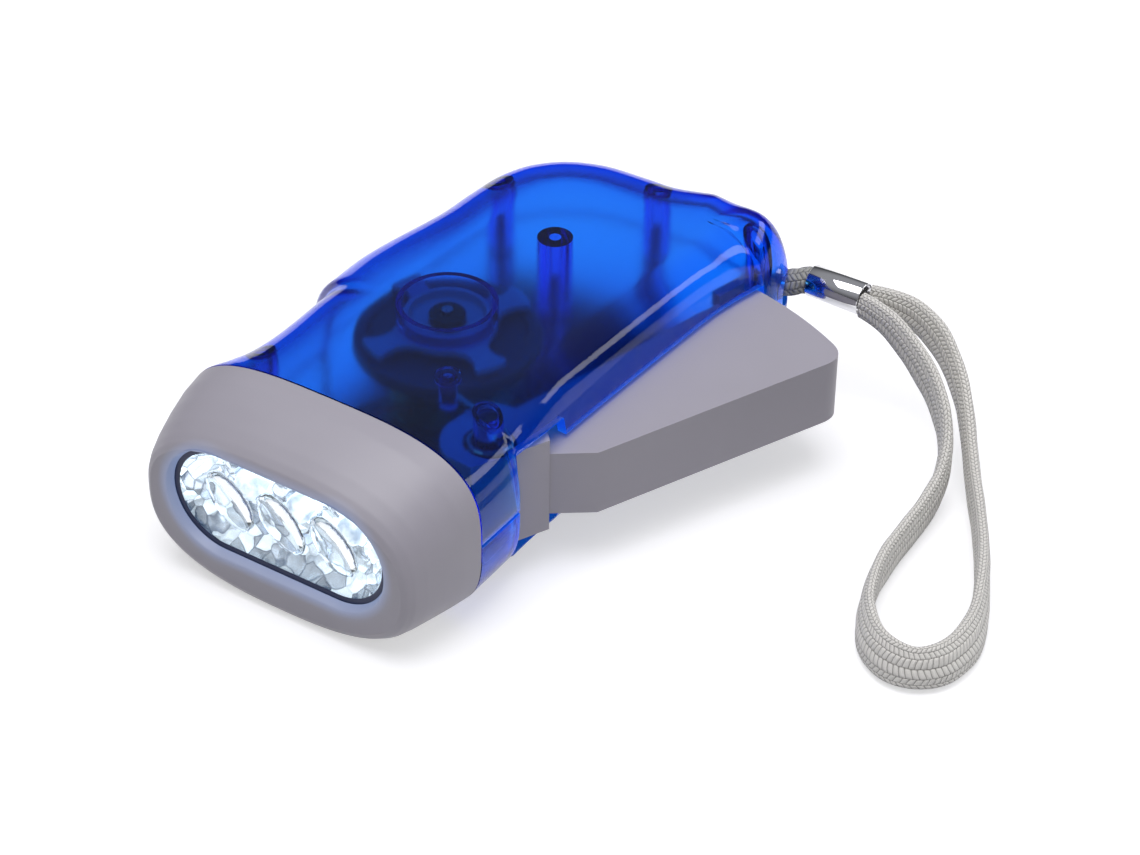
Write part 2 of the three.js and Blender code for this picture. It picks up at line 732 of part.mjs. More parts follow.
function armOutline(inset) {
  const reach = lever_reach - inset;
  const root = fromShare(arm_inner_root_share, lever_reach);
  const inner_end = fromShare(arm_inner_end_share, lever_reach).setLength(reach);
  const start = inner_end.angle();
  if (inset > 0) {
    root.x -= cut_overrun;
    inner_end.x -= cut_overrun;
  }
  const outer_end = fromShare(arm_outer_end_share, lever_reach).setLength(reach);
  const bend = fromShare(arm_outer_bend_share, lever_reach);
  const along = outer_end.clone().sub(bend).normalize();
  const aside = new THREE.Vector2(-along.y, along.x).multiplyScalar(inset);
  const corner = Math.max(lever_corner - inset, merge_distance * 100);
  const shape = new THREE.Shape();
  shape.moveTo(root.x, root.y);
  shape.lineTo(inner_end.x, inner_end.y);
  const end = outer_end.angle() + corner / reach;
  shape.absarc(0, 0, reach, start, end, true);
  const turn = outer_end.clone().add(aside);
  const after = turn.clone().addScaledVector(along, -corner);
  shape.quadraticCurveTo(turn.x, turn.y, after.x, after.y);
  shape.lineTo(bend.x + aside.x, bend.y + aside.y);
  const outer_root = fromShare(arm_outer_root_share, lever_reach);
  shape.lineTo(outer_root.x + aside.x, outer_root.y + aside.y);
  shape.lineTo(0, 0);
  return shape;
}

function slabOf(shape, bottom, top, segments) {
  const settings = { depth: top - bottom, bevelEnabled: false, curveSegments: segments };
  return solidOf(new THREE.ExtrudeGeometry(shape, settings).translate(0, 0, bottom));
}

function knuckleOutline() {
  const flat_half_angle = Math.acos(knuckle_flat_distance / knuckle_radius);
  const shape = new THREE.Shape();
  const start = knuckle_flat_angle + flat_half_angle;
  shape.absarc(0, 0, knuckle_radius, start, knuckle_back_angle, false);
  shape.absarc(0, 0, knuckle_inner_radius, ...knuckle_inner_angles, false);
  const toe = polar(knuckle_flat_distance, knuckle_flat_angle)
    .add(polar(knuckle_inner_radius * 0.75, knuckle_flat_angle - Math.PI / 2));
  shape.lineTo(toe.x, toe.y);
  return shape;
}

function sectorOutline() {
  const start = angleTo(pivot, first_gear_place);
  const tooth = (2 * Math.PI) / sector_teeth;
  const root = pitchRadius(sector_teeth, sector_module) - dedendum_share * sector_module;
  const low = polar(root, start + (sector_first_tooth - 0.7) * tooth);
  const high = polar(root, start + (sector_last_tooth + 0.7) * tooth);
  const teeth = toothPoints(sector_teeth, sector_module, start, sector_first_tooth, sector_last_tooth);
  return [new THREE.Vector2(), low, ...teeth, high];
}

function leverSolid() {
  const arm_low = mid_height - lever_thickness / 2;
  const arm_high = mid_height + lever_thickness / 2;
  const arm = slabOf(armOutline(0), arm_low, arm_high, 10);
  const pocket_cut = block(-far, far, knuckle_radius + lever_skin, far, -far, far);
  const pocket = slabOf(armOutline(lever_skin), arm_low + lever_skin, arm_high - lever_skin, 10)
    .intersect(pocket_cut);
  const knuckle = slabOf(knuckleOutline(), knuckle_bottom, knuckle_top, 8);
  const neck = column(pivot_radius * 1.6, new THREE.Vector2(), layer_c, knuckle_bottom + wall);
  const sector = prism(sectorOutline(), layer_c, sector_top);
  const bore = column(pivot_hole, new THREE.Vector2(), -far, far);
  const spring_well = column(spring_radius + spring_wire, new THREE.Vector2(), spring_well_bottom, far);
  const whole = cut(joined(cut(arm, pocket), stopLip(), knuckle, neck, sector), bore, spring_well);
  return whole.translate([pivot.x, pivot.y, 0]);
}

// The lip along the arm's inner end, which rests behind the shell's wall with the lever out.
function stopLip() {
  const end = fromShare(arm_inner_end_share, lever_reach).setLength(lever_reach - stop_lip_width);
  const root = fromShare(arm_inner_root_share, lever_reach);
  const along = end.clone().sub(root).normalize();
  const start = end.clone().addScaledVector(along, -lever_thickness / 2);
  const inwards = new THREE.Vector2(-along.y, along.x).multiplyScalar(stop_lip_width);
  const into_arm = inwards.clone().multiplyScalar(-0.2);
  const corners = [[start, into_arm], [end, into_arm], [end, inwards], [start, inwards]]
    .map(([place, offset]) => place.clone().add(offset));
  const half = lever_thickness / 2 + stop_lip_height;
  return prism(corners, mid_height - half, mid_height + half);
}

addPiece("lever", leverSolid(), "grey");
addPiece("lever_pivot_pin", column(pivot_radius, pivot, axle_bottom, pilot_top, round_sides), "steel");

// Return spring: a wound wire about the pivot boss with a leg to the shell's post and a leg
// that hooks over the knuckle.
const spring_bottom = spring_well_bottom + seat_gap + spring_wire / 2;
const curl_steps = 8;

function springPoints() {
  const points = [];
  const start_angle = angleTo(pivot, spring_post) - 0.5 * Math.PI;
  const steps = spring_turns * curl_steps;
  for (let i = 0; i <= steps; i++) {
    const angle = start_angle + (i / curl_steps) * 2 * Math.PI;
    const z = spring_bottom + (i / curl_steps) * spring_pitch;
    const place = polar(spring_radius, angle, pivot);
    points.push(new THREE.Vector3(place.x, place.y, z));
  }
  const last = points[points.length - 1];
  const run = new THREE.Vector2(spring_post.x - last.x, spring_post.y - last.y);
  const beside = new THREE.Vector2(-run.y, run.x).setLength(spring_post_radius + spring_wire);
  const hook = new THREE.Vector3(spring_post.x - beside.x, spring_post.y - beside.y, last.z);
  points.push(last.clone().lerp(hook, 0.5), hook);
  return points;
}

function leastSelfGap(points, diameter) {
  let least = Infinity;
  for (let i = 0; i < points.length; i++) {
    for (let j = i + curl_steps / 2; j < points.length; j++) {
      least = Math.min(least, points[i].distanceTo(points[j]) - diameter);
    }
  }
  return least;
}

const spring_points = springPoints();
const spring_path_steps = (spring_points.length - 1) * 2;
const spring_gap = leastSelfGap(spring_points, spring_wire);
console.log("least gap of the return spring to itself", spring_gap.toFixed(2));
const spring = tube(spring_points, spring_wire / 2, spring_wire / 2, spring_path_steps, 5);
addPiece("return_spring", spring, "steel");

// Gear train: the lever's sector turns the first gear, which turns the clutch's pinion.
const gear_bore = gear_axle_radius + running_gap * 1.5;

function firstGear() {
  const wheel_start = angleTo(first_gear_place, clutch_place);
  const pinion_start = angleTo(first_gear_place, pivot) + Math.PI / pinion_teeth;
  const place = first_gear_place;
  const wheel = gear(wheel_teeth, train_module, wheel_start, place, layer_b, layer_b + gear_thickness);
  const pinion = gear(pinion_teeth, sector_module, pinion_start, place, layer_b, sector_top);
  const hub = column(gear_axle_radius * 2, place, layer_a, layer_b + gear_thickness / 2);
  return cut(joined(wheel, pinion, hub), column(gear_bore, place, 0, body_thickness));
}

const ratchet_teeth = 12;
const ratchet_radius = pitchRadius(wheel_teeth, train_module) * 0.64;
const ratchet_inner_radius = ratchet_radius * 0.88;
const ratchet_floor = layer_a + gear_thickness * 0.45;
const pawl_reach = ratchet_inner_radius - seat_gap;

// The clutch's pinion carries springy pawls that catch the ratchet inside the clutch's wheel.
function clutchPinion() {
  const start = angleTo(clutch_place, first_gear_place) + Math.PI / pinion_teeth;
  const pinion = gear(pinion_teeth, train_module, start, clutch_place, layer_b, layer_b + gear_thickness);
  const sleeve = column(gear_axle_radius * 1.7, clutch_place, ratchet_floor + seat_gap, sector_top);
  const pawls = [0, 1, 2].map((i) => {
    const angle = (i / 3) * 2 * Math.PI;
    const points = [
      polar(gear_axle_radius * 1.5, angle + 1.2),
      polar(gear_axle_radius * 1.5, angle - 0.6),
      polar(pawl_reach * 0.92, angle - 0.25),
      polar(pawl_reach, angle),
      polar(pawl_reach * 0.75, angle + 0.1),
    ];
    return prism(shifted(points, clutch_place), ratchet_floor + seat_gap, layer_b - seat_gap / 2);
  });
  return cut(joined(pinion, sleeve, ...pawls), column(gear_bore, clutch_place, 0, body_thickness));
}

function clutchWheel() {
  const start = angleTo(clutch_place, rotor);
  const wheel = gear(wheel_teeth, train_module, start, clutch_place, layer_a, layer_a + gear_thickness);
  const ratchet = [];
  for (let i = 0; i < ratchet_teeth; i++) {
    const angle = (i / ratchet_teeth) * 2 * Math.PI;
    ratchet.push(polar(ratchet_inner_radius, angle), polar(ratchet_radius, angle + 0.02));
  }
  const dish = prism(shifted(ratchet, clutch_place), ratchet_floor, body_thickness);
  return cut(wheel, dish, column(gear_bore, clutch_place, 0, body_thickness));
}

addPiece("first_gear", firstGear(), "white_plastic");
addPiece("clutch_pinion", clutchPinion(), "white_plastic");
addPiece("clutch_wheel", clutchWheel(), "white_plastic");
for (const [name, place] of [["first_gear_axle", first_gear_place], ["clutch_axle", clutch_place]]) {
  addPiece(name, column(gear_axle_radius, place, axle_bottom, plate_top), "steel");
}

// Generator: the plate that carries it, a coil between two claw plates, and the rotor
const stator_bottom = plate_top + seat_gap;
const stator_top = flywheel_hub_bottom - flywheel_clearance;
const generator_height = stator_top - stator_bottom;
const claw_radius = magnet_radius + seat_gap;
const claw_length = generator_height * 0.62;
const claw_count = 4;
const bobbin_inner = claw_radius + claw_thickness + seat_gap;
const rotor_bore = rotor_axle_radius + running_gap;

function generatorPlate() {
  const ear = post_radius + seat_gap;
  const ears = [first_gear_place, clutch_place, ...post_places].map((place) => [place, ear]);
  const slab = slabRound([...ears, [rotor, generator_radius + seat_gap]], plate_bottom, plate_top);
  const holes = post_places.map((place) => column(screw_radius + seat_gap, place, 0, body_thickness));
  for (const place of [first_gear_place, clutch_place]) {
    holes.push(column(gear_bore, place, 0, body_thickness));
  }
  return cut(slab, ...holes, column(rotor_bore, rotor, 0, body_thickness));
}

function clawPlate(is_lower) {
  const from = is_lower ? stator_bottom : stator_top;
  const inwards = is_lower ? 1 : -1;
  const face = from + inwards * claw_plate_thickness;
  const tip = from + inwards * (claw_plate_thickness + claw_length);
  const disc = column(generator_radius, rotor, Math.min(from, face), Math.max(from, face), round_sides);
  const claws = [];
  for (let i = 0; i < claw_count; i++) {
    const angle = ((i + (is_lower ? 0 : 0.5)) / claw_count) * 2 * Math.PI;
    const half = Math.PI / claw_count / 2;
    const points = [
      polar(claw_radius, angle - half), polar(claw_radius + claw_thickness, angle - half),
      polar(claw_radius + claw_thickness, angle), polar(claw_radius + claw_thickness, angle + half),
      polar(claw_radius, angle + half), polar(claw_radius, angle),
    ];
    const foot = from + (inwards * claw_plate_thickness) / 2;
    claws.push(prism(shifted(points, rotor), Math.min(foot, tip), Math.max(foot, tip)));
  }
  const centre = column(claw_radius, rotor, 0, body_thickness, round_sides);
  return joined(cut(disc, centre), ...claws);
}

function bobbin() {
  const low = stator_bottom + claw_plate_thickness + seat_gap;
  const high = stator_top - claw_plate_thickness - seat_gap;
  const outer = generator_radius - seat_gap;
  const drum = bobbin_inner + bobbin_wall;
  return turned([[bobbin_inner, low], [outer, low], [outer, low + bobbin_wall], [drum, low + bobbin_wall],
    [drum, high - bobbin_wall], [outer, high - bobbin_wall], [outer, high], [bobbin_inner, high],
    [bobbin_inner, low]], rotor);
}

function winding() {
  const low = stator_bottom + claw_plate_thickness + bobbin_wall + seat_gap * 2;
  const high = stator_top - claw_plate_thickness - bobbin_wall - seat_gap * 2;
  const inner = bobbin_inner + bobbin_wall + seat_gap;
  const outer = generator_radius - seat_gap * 3;
  const profile = [[inner, low]];
  const ribs = 4;
  for (let i = 0; i < ribs; i++) {
    profile.push([outer - seat_gap, mix(low, high, i / ribs)], [outer, mix(low, high, (i + 0.5) / ribs)]);
  }
  profile.push([outer - seat_gap, high], [inner, high], [inner, low]);
  return turned(profile, rotor, 20);
}

const bush_top = bracket_top + wall;
const axle_top = bush_top + wall / 3;

function flywheel() {
  const hub = rotor_axle_radius * 3;
  const rim = flywheel_radius * 0.8;
  const web = flywheel_thickness * 0.3;
  const bottom = flywheel_bottom;
  const top = flywheel_bottom + flywheel_thickness;
  const profile = [
    [rotor_bore, flywheel_hub_bottom], [hub, flywheel_hub_bottom], [hub, bottom], [flywheel_radius, bottom],
    [flywheel_radius, top], [rim, top], [rim - web, top - web], [hub, top - web],
    [rotor_bore, top - web], [rotor_bore, flywheel_hub_bottom],
  ];
  return turned(profile, rotor);
}

// The four-armed bracket that holds the rotor's upper end against the ring in the upper shell.
function bearingBracket() {
  const disc = column(rib_ring_radius, rotor, bracket_bottom, bracket_top, round_sides);
  const spigot_radius = rib_ring_radius - rib_ring_width - seat_gap;
  const spigot = cut(
    column(spigot_radius, rotor, bracket_bottom, bush_top, round_sides),
    column(spigot_radius - bracket_thickness / 2, rotor, bracket_top, body_thickness, round_sides),
  );
  const bush = column(rotor_axle_radius * 3, rotor, bracket_bottom, bush_top);
  const arms = [0, 1, 2, 3].map((i) => {
    const angle = bracket_angle + (i * Math.PI) / 2;
    const along = polar(bracket_reach, angle);
    const aside = polar(bracket_arm_width / 2, angle + Math.PI / 2);
    const corners = [
      aside, aside.clone().negate(), along.clone().sub(aside), along.clone().add(aside),
    ];
    return prism(shifted(corners, rotor), bracket_bottom, bracket_top);
  });
  return cut(joined(disc, spigot, bush, ...arms), column(rotor_bore, rotor, 0, body_thickness));
}

const bracket_angle = 65 * degree;
const bracket_arm_width = rib_ring_radius * 0.75;
const rotor_pinion_start = angleTo(rotor, clutch_place) + Math.PI / pinion_teeth;
const rotor_pinion = cut(
  gear(pinion_teeth, train_module, rotor_pinion_start, rotor, layer_a, layer_a + gear_thickness),
  column(rotor_bore, rotor, 0, body_thickness),
);
const magnet_low = stator_bottom + claw_plate_thickness * 1.5;
const magnet_high = stator_top - claw_plate_thickness * 1.5;
const magnet = turned([[rotor_bore, magnet_low], [magnet_radius, magnet_low], [magnet_radius, magnet_high],
  [rotor_bore, magnet_high], [rotor_bore, magnet_low]], rotor);
addPiece("generator_plate", generatorPlate(), "steel");
addPiece("stator_lower_claws", clawPlate(true), "steel");
addPiece("stator_upper_claws", clawPlate(false), "steel");
addPiece("coil_bobbin", bobbin(), "black_plastic");
addPiece("coil_winding", winding(), "copper");
addPiece("rotor_axle", column(rotor_axle_radius, rotor, axle_bottom, axle_top), "steel");
addPiece("rotor_pinion", rotor_pinion, "brass");
addPiece("rotor_magnet", magnet, "magnet");
addPiece("flywheel", flywheel(), "black_plastic");
addPiece("bearing_bracket", bearingBracket(), "white_plastic");

// Screws: five that come up through the lower shell, and two that hold the generator's plate
function screw(place, seat, tip, is_upwards) {
  const head_end = is_upwards ? seat - screw_head_height : seat + screw_head_height;
  const head = column(screw_head_radius, place, Math.min(seat, head_end), Math.max(seat, head_end));
  const root = (seat * 3 + head_end) / 4;
  const shank = column(screw_radius, place, Math.min(tip, root), Math.max(tip, root));
  const slot_depth = screw_head_height * 0.45;
  const slot_mouth = head_end + (is_upwards ? -cut_overrun : cut_overrun);
  const slot_floor = head_end + (is_upwards ? slot_depth : -slot_depth);
  const low = Math.min(slot_mouth, slot_floor);
  const high = Math.max(slot_mouth, slot_floor);
  const half_width = screw_head_radius * 0.16;
  const half_length = screw_head_radius * 0.62;
  const { x, y } = place;
  const cross = joined(
    block(x - half_width, x + half_width, y - half_length, y + half_length, low, high),
    block(x - half_length, x + half_length, y - half_width, y + half_width, low, high),
  );
  return cut(joined(head, shank), cross);
}

const screw_seat = well_depth + screw_head_height - seat_gap;
bosses.forEach(({ place }, i) => {
  addPiece(`shell_screw_${i + 1}`, screw(place, screw_seat, mid_height * 1.45, true), "steel");
});
post_places.forEach((place, i) => {
  addPiece(`plate_screw_${i + 1}`, screw(place, plate_top + seat_gap, floor_top + wall, false), "steel");
});

// Cells: three in a row across the torch, in a cradle with a contact at each end
const cell_y = spigot_back + seat_gap * 1.5 + cell_radius;
const cell_z = mid_height - wall * 1.55;

function alongX(profile, x, sides = 20) {
  const points = profile.map(([radius, height]) => new THREE.Vector2(radius, height));
  const lathe = new THREE.LatheGeometry(points, sides).rotateZ(-Math.PI / 2);
  return solidOf(lathe.translate(x, cell_y, cell_z));
}

function cell(index) {
  const chamfer = cell_length * 0.12;
  const cap = cell_radius * 0.72;
  const x = cell_left + index * (cell_length + seat_gap);
  const profile = [
    [0, 0], [cell_radius - chamfer, 0], [cell_radius, chamfer], [cell_radius, cell_length * 0.75],
    [cap, cell_length * 0.8], [cap, cell_length], [0, cell_length],
  ];
  return alongX(profile, x);
}

function cellHolder() {
  const x1 = cell_left + cell_row + cell_end_gap + wall * 0.6;
  const y0 = cell_y - cell_radius * 0.8;
  const y1 = cell_y + cell_radius * 0.62;
  const body = block(holder_left, x1, y0, y1, floor_top + seat_gap, cell_z);
  const trough_length = cell_row + cell_end_gap * 2;
  const trough = alongX([[0, 0], [cell_radius + seat_gap, 0], [cell_radius + seat_gap, trough_length],
    [0, trough_length]], cell_left - cell_end_gap);
  const under_cells = cell_z - cell_radius - wall;
  const lightening = block(holder_left + wall, x1 - wall, y0 + wall, y1 - wall, 0, under_cells);
  return cut(body, trough, lightening).intersect(bodySolid(wall + seat_gap, inner_level_shares));
}

function cellContact(is_left) {
  const x = is_left ? cell_left - seat_gap - contact_thickness : cell_left + cell_row + seat_gap;
  const half_width = cell_radius * 0.4;
  const low = cell_z - cell_radius * 0.7;
  const high = cell_z + cell_radius * 1.1;
  const strip = block(x, x + contact_thickness, cell_y - half_width, cell_y + half_width, low, high);
  const fold = is_left ? [x - wall * 0.6, x + contact_thickness] : [x, x + wall];
  return joined(strip, block(...fold, cell_y - half_width, cell_y, high - contact_thickness, high));
}

for (let i = 0; i < 3; i++) addPiece(`cell_${i + 1}`, cell(i), "steel");
addPiece("cell_holder", cellHolder(), "black_plastic");
addPiece("cell_contact_left", cellContact(true), "brass");
addPiece("cell_contact_right", cellContact(false), "brass");

// Leads from the cell contacts and from the coil to the light's board
const pad_y = board_back + seat_gap;
const contact_top = cell_z + cell_radius * 1.1 + seat_gap + lead_radius;
const contact_y = cell_y - cell_radius * 0.2;
const lead_arch = mid_height + light_half_height * 0.55;

function lead(start, end) {
  const half = (start.y + end.y) / 2;
  const rise = Math.max(lead_arch, start.z + lead_radius * 2);
  const points = [
    start,
    new THREE.Vector3(mix(start.x, end.x, 0.25), mix(start.y, half, 0.5), mix(start.z, rise, 0.8)),
    new THREE.Vector3(mix(start.x, end.x, 0.6), half, rise),
    new THREE.Vector3(end.x, mix(half, end.y, 0.65), mix(rise, end.z, 0.35)),
    end,
  ];
  return tube(points, lead_radius, lead_radius, 10, 5);
}

const left_contact_x = cell_left - seat_gap - contact_thickness;
const right_contact_x = cell_left + cell_row + seat_gap + contact_thickness;
const coil_front_y = rotor_from_front - generator_radius - seat_gap - lead_radius;
const coil_z = stator_top - generator_height * 0.3;
const lead_ends = [
  ["cell_lead_plus", left_contact_x, contact_y, contact_top, -0.3, 0.25, "red_lead"],
  ["cell_lead_minus", right_contact_x, contact_y, contact_top, 0.3, 0.25, "black_lead"],
  ["coil_lead_left", -led_spacing * 0.3, coil_front_y, coil_z, -0.14, 0.5, "black_lead"],
  ["coil_lead_right", led_spacing * 0.05, coil_front_y, coil_z, 0.03, 0.5, "red_lead"],
];
for (const [name, x, y, z, end_share, up_share, finish] of lead_ends) {
  const end_x = end_share * light_half_length;
  const end_z = mid_height + up_share * light_half_height * 0.8;
  addPiece(name, lead(new THREE.Vector3(x, y, z), new THREE.Vector3(end_x, pad_y, end_z)), finish);
}

// Wrist strap: a knotted tail through the eye, a crimped sleeve, and the loop of flat braid
function strapTail() {
  const inside = sleeve_start.clone().lerp(sleeve_end, 0.35);
  const points = [knot_place, knot_place.clone().lerp(sleeve_start, 0.6), sleeve_start, inside];
  const cord = tube(points, tail_radius, tail_radius, 6, 10);
  const knot = new THREE.SphereGeometry(knot_radius, 12, 8).translate(...knot_place.toArray());
  return joined(cord, solidOf(knot));
}

function strapSleeve() {
  const overrun = new THREE.Vector3(cut_overrun, 0, 0);
  const [from, to] = [sleeve_start.clone().sub(overrun), sleeve_end.clone().add(overrun)];
  const outside = bar(sleeve_radius, sleeve_start, sleeve_end, 20);
  return cut(outside, bar(sleeve_radius - sleeve_wall, from, to, 20));
}

// The loop's centre line, from one side of the sleeve's mouth out over the ground and back.
const strap_route = [
  [48.3, 104.3, 19.6], [51.4, 103.7, 19.4], [55.6, 102.4, 18.7], [61, 100, 16.8], [66.2, 97.2, 14.2],
  [70, 94.2, 11.6], [72.6, 91.2, 9.2], [74.5, 87.6, 7], [75.7, 83.2, 5.2], [76.3, 77, 4.1],
  [76.6, 69.8, 3.8], [77.2, 62.8, 3.8], [78.5, 56.2, 3.8], [80.8, 49.8, 3.9], [84.6, 44.6, 3.9],
  [89.2, 42.1, 3.9], [93.8, 42.5, 3.9], [97, 46, 3.9], [98, 51.8, 3.9], [96.8, 58.2, 3.8],
  [94, 64.8, 3.8], [90, 72.4, 3.8], [85.2, 80.4, 3.9], [80.6, 87.3, 4.4], [76.6, 93.3, 5.8],
  [73, 98.5, 8], [69.5, 102.6, 10.6], [65.7, 105.7, 13.3], [61.4, 107.9, 16], [56.6, 108.9, 18],
  [52, 108.2, 19.3], [48.3, 107.3, 19.6],
].map((point) => new THREE.Vector3(...point));
const strap_steps = 60;
const strap_sides = 10;
const strap_pinch_share = 0.09;
const strap_lean = 24 * degree;
const strap_lean_shares = [0.32, 0.48, 0.52, 0.68];

// The flat braid stands on its edge, leans in round the loop's end, and is pinched at the sleeve.
function strapLoop() {
  const route = new THREE.CatmullRomCurve3(strap_route);
  const rings = [];
  for (let i = 0; i <= strap_steps; i++) {
    const share = i / strap_steps;
    const centre = route.getPointAt(share);
    const [from, full, hold, to] = strap_lean_shares;
    const lean = strap_lean * smooth(share, from, full) * (1 - smooth(share, hold, to));
    const along = route.getTangentAt(share);
    const side = along.clone().cross(new THREE.Vector3(0, 0, 1)).normalize().applyAxisAngle(along, -lean);
    const upright = side.clone().cross(along);
    const open = smooth(Math.min(share, 1 - share), 0, strap_pinch_share);
    const half_width = mix(sleeve_radius * 0.85, strap_width / 2, open);
    const ring = [];
    for (let j = 0; j < strap_sides; j++) {
      const angle = ((j + 0.5) / strap_sides) * 2 * Math.PI;
      const place = centre.clone().addScaledVector(side, (Math.cos(angle) * strap_thickness) / 2);
      ring.push(place.addScaledVector(upright, Math.sin(angle) * half_width));
    }
    rings.push(ring);
  }
  return loft(rings);
}

addPiece("strap_tail", strapTail(), "dark_braid");
addPiece("strap_sleeve", strapSleeve(), "chrome");
addPiece("strap_loop", strapLoop(), "webbing");

export default torch;
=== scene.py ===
import math

import bmesh
import bpy
import numpy as np
from mathutils import Matrix, Vector
from mathutils.geometry import delaunay_2d_cdt


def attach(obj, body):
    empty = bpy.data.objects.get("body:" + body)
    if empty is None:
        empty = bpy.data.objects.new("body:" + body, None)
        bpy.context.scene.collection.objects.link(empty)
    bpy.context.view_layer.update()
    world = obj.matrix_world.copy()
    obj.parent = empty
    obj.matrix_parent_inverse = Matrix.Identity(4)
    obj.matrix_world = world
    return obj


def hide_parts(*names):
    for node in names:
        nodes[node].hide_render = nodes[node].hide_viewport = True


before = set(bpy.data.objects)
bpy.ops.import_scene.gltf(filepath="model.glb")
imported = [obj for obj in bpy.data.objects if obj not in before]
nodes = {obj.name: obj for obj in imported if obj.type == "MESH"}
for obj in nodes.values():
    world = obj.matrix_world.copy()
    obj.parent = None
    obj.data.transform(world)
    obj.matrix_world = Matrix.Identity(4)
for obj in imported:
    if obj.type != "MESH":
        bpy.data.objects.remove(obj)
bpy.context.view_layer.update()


# The camera stands in front of the torch, to the right of its light and above it, and looks
# down over the head along the lever. It is a long lens from just over half a metre.
MM = 0.001
camera_place = Vector((0.263227, -0.369103, 0.354193))
camera_azimuth = 0.574
camera_elevation = 0.653
camera_roll = 0.014
camera_data = bpy.data.cameras.new("camera")
camera_data.lens = 105.79
camera_data.sensor_width = 36
camera_data.sensor_fit = "HORIZONTAL"
camera_data.clip_start = 0.01
camera = bpy.data.objects.new("camera", camera_data)
bpy.context.scene.collection.objects.link(camera)
ca, sa = math.cos(camera_azimuth), math.sin(camera_azimuth)
ce, se = math.cos(camera_elevation), math.sin(camera_elevation)
forward = Vector((-sa * ce, ca * ce, -se))
level_right = Vector((ca, sa, 0))
level_up = level_right.cross(forward)
right = math.cos(camera_roll) * level_right + math.sin(camera_roll) * level_up
up = -math.sin(camera_roll) * level_right + math.cos(camera_roll) * level_up
turn = Matrix((right, up, -forward)).transposed()
camera.matrix_world = Matrix.Translation(camera_place) @ turn.to_4x4()
bpy.context.scene.camera = camera
bpy.context.scene.view_settings.view_transform = "Standard"


def material(name):
    """A new material, its node tree and its main shader."""
    made = bpy.data.materials.new(name)
    made.use_nodes = True
    return made, made.node_tree, made.node_tree.nodes["Principled BSDF"]


def feed(node, inputs):
    """Gives a node's inputs their numbers or colours, or links them to other nodes' outputs."""
    for key, value in dict(inputs).items():
        if isinstance(value, bpy.types.NodeSocket):
            node.id_data.links.new(value, node.inputs[key])
        else:
            node.inputs[key].default_value = value


def put(tree, kind, inputs=(), **settings):
    """A node with its settings and its inputs."""
    node = tree.nodes.new(kind)
    for key, value in settings.items():
        setattr(node, key, value)
    feed(node, inputs)
    return node


def sums(operation, *values):
    """The output of one Math node, in the tree that its values come from."""
    tree = next(value.id_data for value in values if isinstance(value, bpy.types.NodeSocket))
    return put(tree, "ShaderNodeMath", dict(enumerate(values)), operation=operation).outputs[0]


def blend(share, low, high):
    """The colour at a share of the way between two."""
    inputs = {0: share, 6: (*low, 1), 7: (*high, 1)}
    return put(share.id_data, "ShaderNodeMix", inputs, data_type="RGBA").outputs[2]


def ranged(value, start, end, low=0.0, high=1.0, rise="LINEAR"):
    """A value carried from one range to another, and held at its ends."""
    inputs = {0: value, 1: start, 2: end, 3: low, 4: high}
    return put(value.id_data, "ShaderNodeMapRange", inputs, interpolation_type=rise).outputs[0]


def bumped(shader, height, strength, depth):
    """Gives a material its relief, with a depth in millimetres."""
    inputs = {"Strength": strength, "Distance": depth * MM, "Height": height}
    feed(shader, {"Normal": put(shader.id_data, "ShaderNodeBump", inputs).outputs[0]})


def shaded(mesh, smooth_angle):
    """Shades a mesh smooth but for edges sharper than an angle."""
    mesh.polygons.foreach_set("use_smooth", [True] * len(mesh.polygons))
    mesh.set_sharp_from_angle(angle=math.radians(smooth_angle))


def shown(name, data):
    """A new object in the scene."""
    made = bpy.data.objects.new(name, data)
    bpy.context.scene.collection.objects.link(made)
    return made


def solid(name, points, faces, finish, smooth_angle=35):
    """A mesh object from points in metres, smooth but for edges sharper than an angle."""
    mesh = bpy.data.meshes.new(name)
    mesh.from_pydata([tuple(p) for p in points], [], [tuple(f) for f in faces])
    mesh.validate()
    bm = bmesh.new()
    bm.from_mesh(mesh)
    bmesh.ops.recalc_face_normals(bm, faces=bm.faces[:])
    bm.to_mesh(mesh)
    bm.free()
    shaded(mesh, smooth_angle)
    mesh.materials.append(finish)
    return shown(name, mesh)


# A pale studio table under the torch, with one wide soft lamp overhead and a soft panel behind
# on the lever's side. The table is white to the camera and keeps the torch's shadow, and it
# carries a dark painted shadow on the patch that the body covers from close above.
table_finish, tree, shader = material("studio_table")
feed(shader, {"Roughness": 0.9, "Specular IOR Level": 0.1})
spot = put(tree, "ShaderNodeSeparateXYZ", {0: put(tree, "ShaderNodeTexCoord").outputs["Object"]})
# The painted shadow: a soft dark patch under the body, where the table's colour is darkened and its white
# glow is taken away.
shadow_patch_middle = (-0.004, 0.014)
shadow_patch_reach = (0.013, 0.032)
beside, behind = (
    sums("MAXIMUM", sums("SUBTRACT", sums("ABSOLUTE", sums("SUBTRACT", way, middle)), reach), 0)
    for way, middle, reach in zip(spot.outputs, shadow_patch_middle, shadow_patch_reach))
from_shadow_patch = sums("SQRT", sums("MULTIPLY_ADD", beside, beside, sums("MULTIPLY", behind, behind)))
painted_shadow = ranged(from_shadow_patch, 0.013, 0.001, rise="SMOOTHSTEP")
feed(shader, {"Base Color": blend(painted_shadow, (0.6, 0.6, 0.61), (0.035, 0.035, 0.04))})
ray = put(tree, "ShaderNodeLightPath")
seen = sums("MAXIMUM", ray.outputs["Is Camera Ray"], ray.outputs["Is Glossy Ray"])
seen = sums("MAXIMUM", seen, ray.outputs["Is Transmission Ray"])
seen = sums("MULTIPLY", seen, sums("LESS_THAN", ray.outputs["Diffuse Depth"], 0.5))
seen = sums("MULTIPLY", seen, sums("SUBTRACT", 1, painted_shadow))
glow = put(tree, "ShaderNodeEmission", {"Color": (1, 1, 1, 1), "Strength": sums("MULTIPLY", seen, 0.55)})
